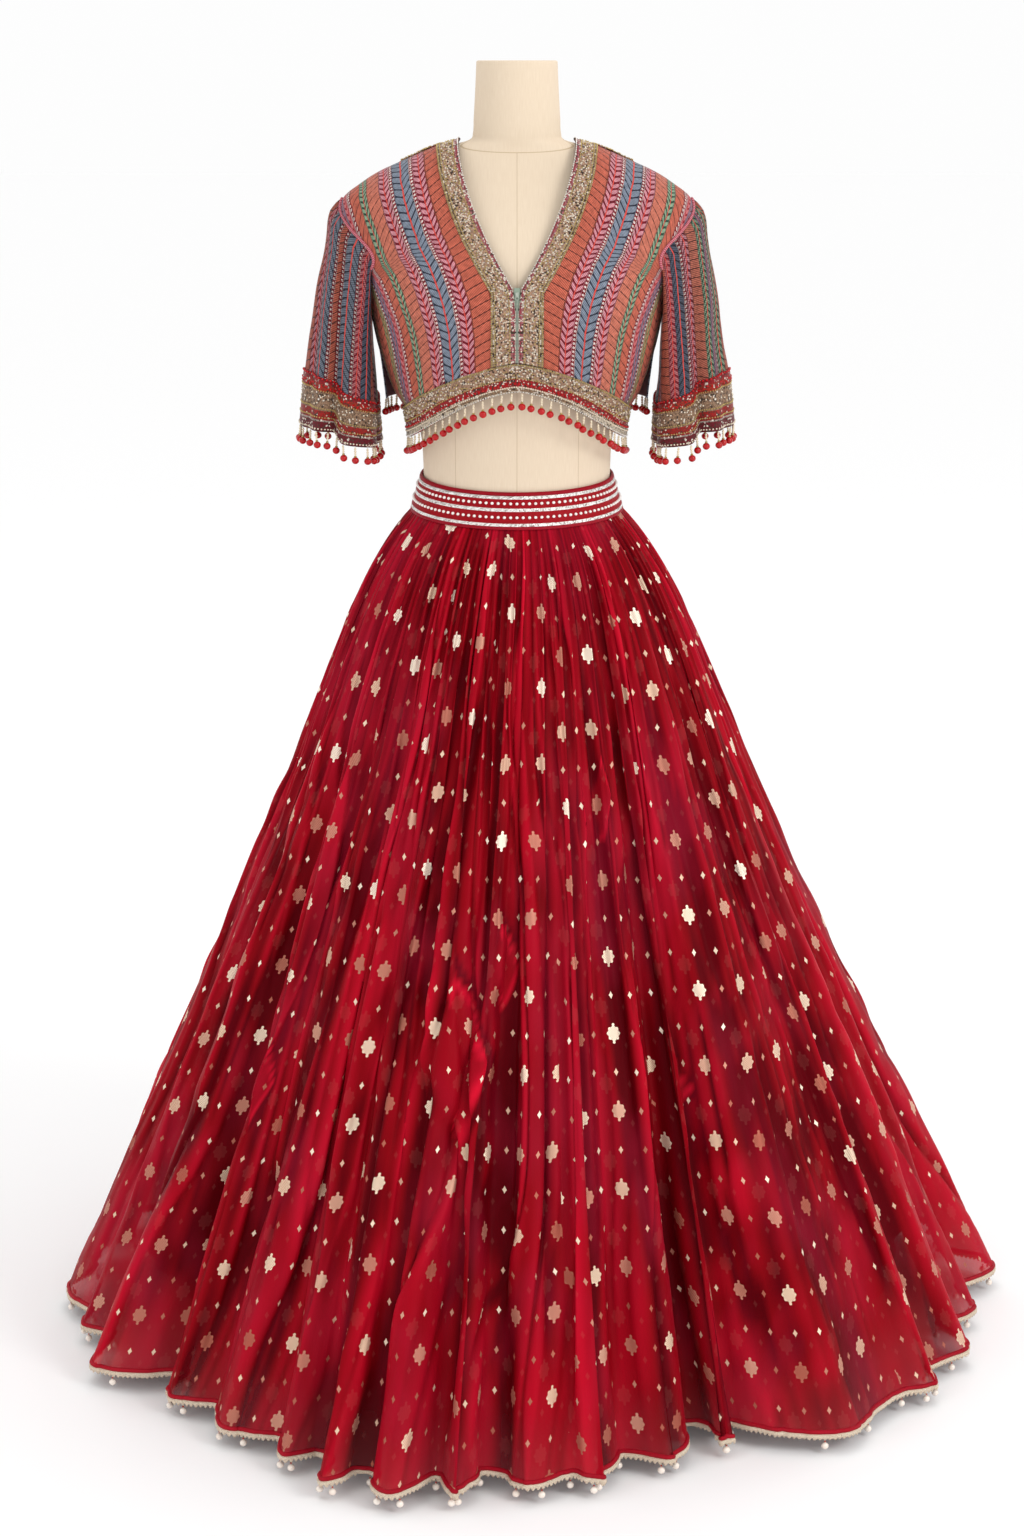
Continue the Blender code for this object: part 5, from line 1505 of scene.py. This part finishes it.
zipSizes = {"half": 3.6, "bottomRise": 36.0, "teethStep": 1.6 * mm, "teethTop": 8, "sliderDown": 6.0, "wall": 1.0 * mm}
# ribbed polyester tape, matt; the coil and slider have a dull metal gleam
zipTape = twoToneMaterial(
    "polyester zip tape, grey green", "A9BBA8", ("7A8C7C", "A2B4A0"), "TexWave", 420.0, 0.5, bump=(0.5, 0.0004),
    bands="Y", Roughness=0.7)
zipMetal = twoToneMaterial(
    "nylon coil and nickel slider", "C9CFC4", ("8E988C", "BCC4B6"), "TexNoise", None, 400.0, 2.0,
    Roughness=0.35, Metallic=0.2)


def bevelledBox(topWidth, bottomWidth, depth, height, bevel, segments):
    # sizes in mm
    bpy.ops.mesh.primitive_cube_add(size=1, location=(0, 0, 0))
    made = bpy.context.active_object
    for vertex in made.data.vertices:
        wide = topWidth if vertex.co.z > 0 else bottomWidth
        vertex.co = (vertex.co.x * wide * mm, vertex.co.y * depth * mm, vertex.co.z * height * mm)
    applyModifier(made, "BEVEL", width=bevel * mm, segments=segments)
    return made


heights = np.linspace(frontHem(0.0) + zipSizes["bottomRise"], blouse["vBottom"] + 2, 60)
xs = np.linspace(-1, 1, 9)
angles = np.sign(xs)[None, :] * angleAt(np.abs(xs)[None, :] * zipSizes["half"], heights[:, None])
tape = bodice(frontSections, angles, heights[:, None] + 0 * xs[None, :])
corners = cornerUv(pairs(lengths(tape, 1), lengths(tape, 0)))
made = gridPiece("blouse_zip_tape", movedOut(tape, -0.4 * mm), corners, [zipTape], inside=bodyMiddle[0])
applyModifier(made, "SOLIDIFY", thickness=zipSizes["wall"], offset=-1)
finishPiece(made, "zip", "blouse_zip")
tooth = bevelledBox(2.6, 2.6, 1.0, 0.8, 0.25, 1)
teethTop = (blouse["vBottom"] - zipSizes["teethTop"]) * mm
toothHeights = np.arange(heights[0] * mm, teethTop, zipSizes["teethStep"])
toothPlaces = bodice(frontSections, toothHeights * 0, toothHeights / mm) + np.array([0, -0.3 * mm, 0])
made = copyMany("blouse_zip_teeth", takeMesh(tooth), toothPlaces, [zipMetal])
finishPiece(made, "zip")
sliderAt = bodice(frontSections, np.array(0.0), np.array(blouse["vBottom"] - zipSizes["sliderDown"]))
slider = bevelledBox(4.6, 3.6, 2.2, 6.0, 0.7, 3)
bpy.ops.mesh.primitive_torus_add(
    major_radius=2.0 * mm, minor_radius=0.45 * mm, major_segments=20, minor_segments=8,
    location=(0, -1.5 * mm, -4.0 * mm), rotation=(math.radians(90), 0, 0))
pull = bpy.context.active_object
bpy.ops.object.transform_apply(location=True, rotation=True, scale=True)
activate(slider)
pull.select_set(True)
bpy.ops.object.join()
slider = bpy.context.active_object
slider.name = slider.data.name = "blouse_zip_slider"
for vertex in slider.data.vertices:
    vertex.co = vertex.co + Vector(sliderAt) + Vector((0, -0.8 * mm, 0))
slider.data.materials.clear()
slider.data.materials.append(zipMetal)
slider.data.shade_smooth()
finishPiece(slider, "zip")
print("blouse ready")
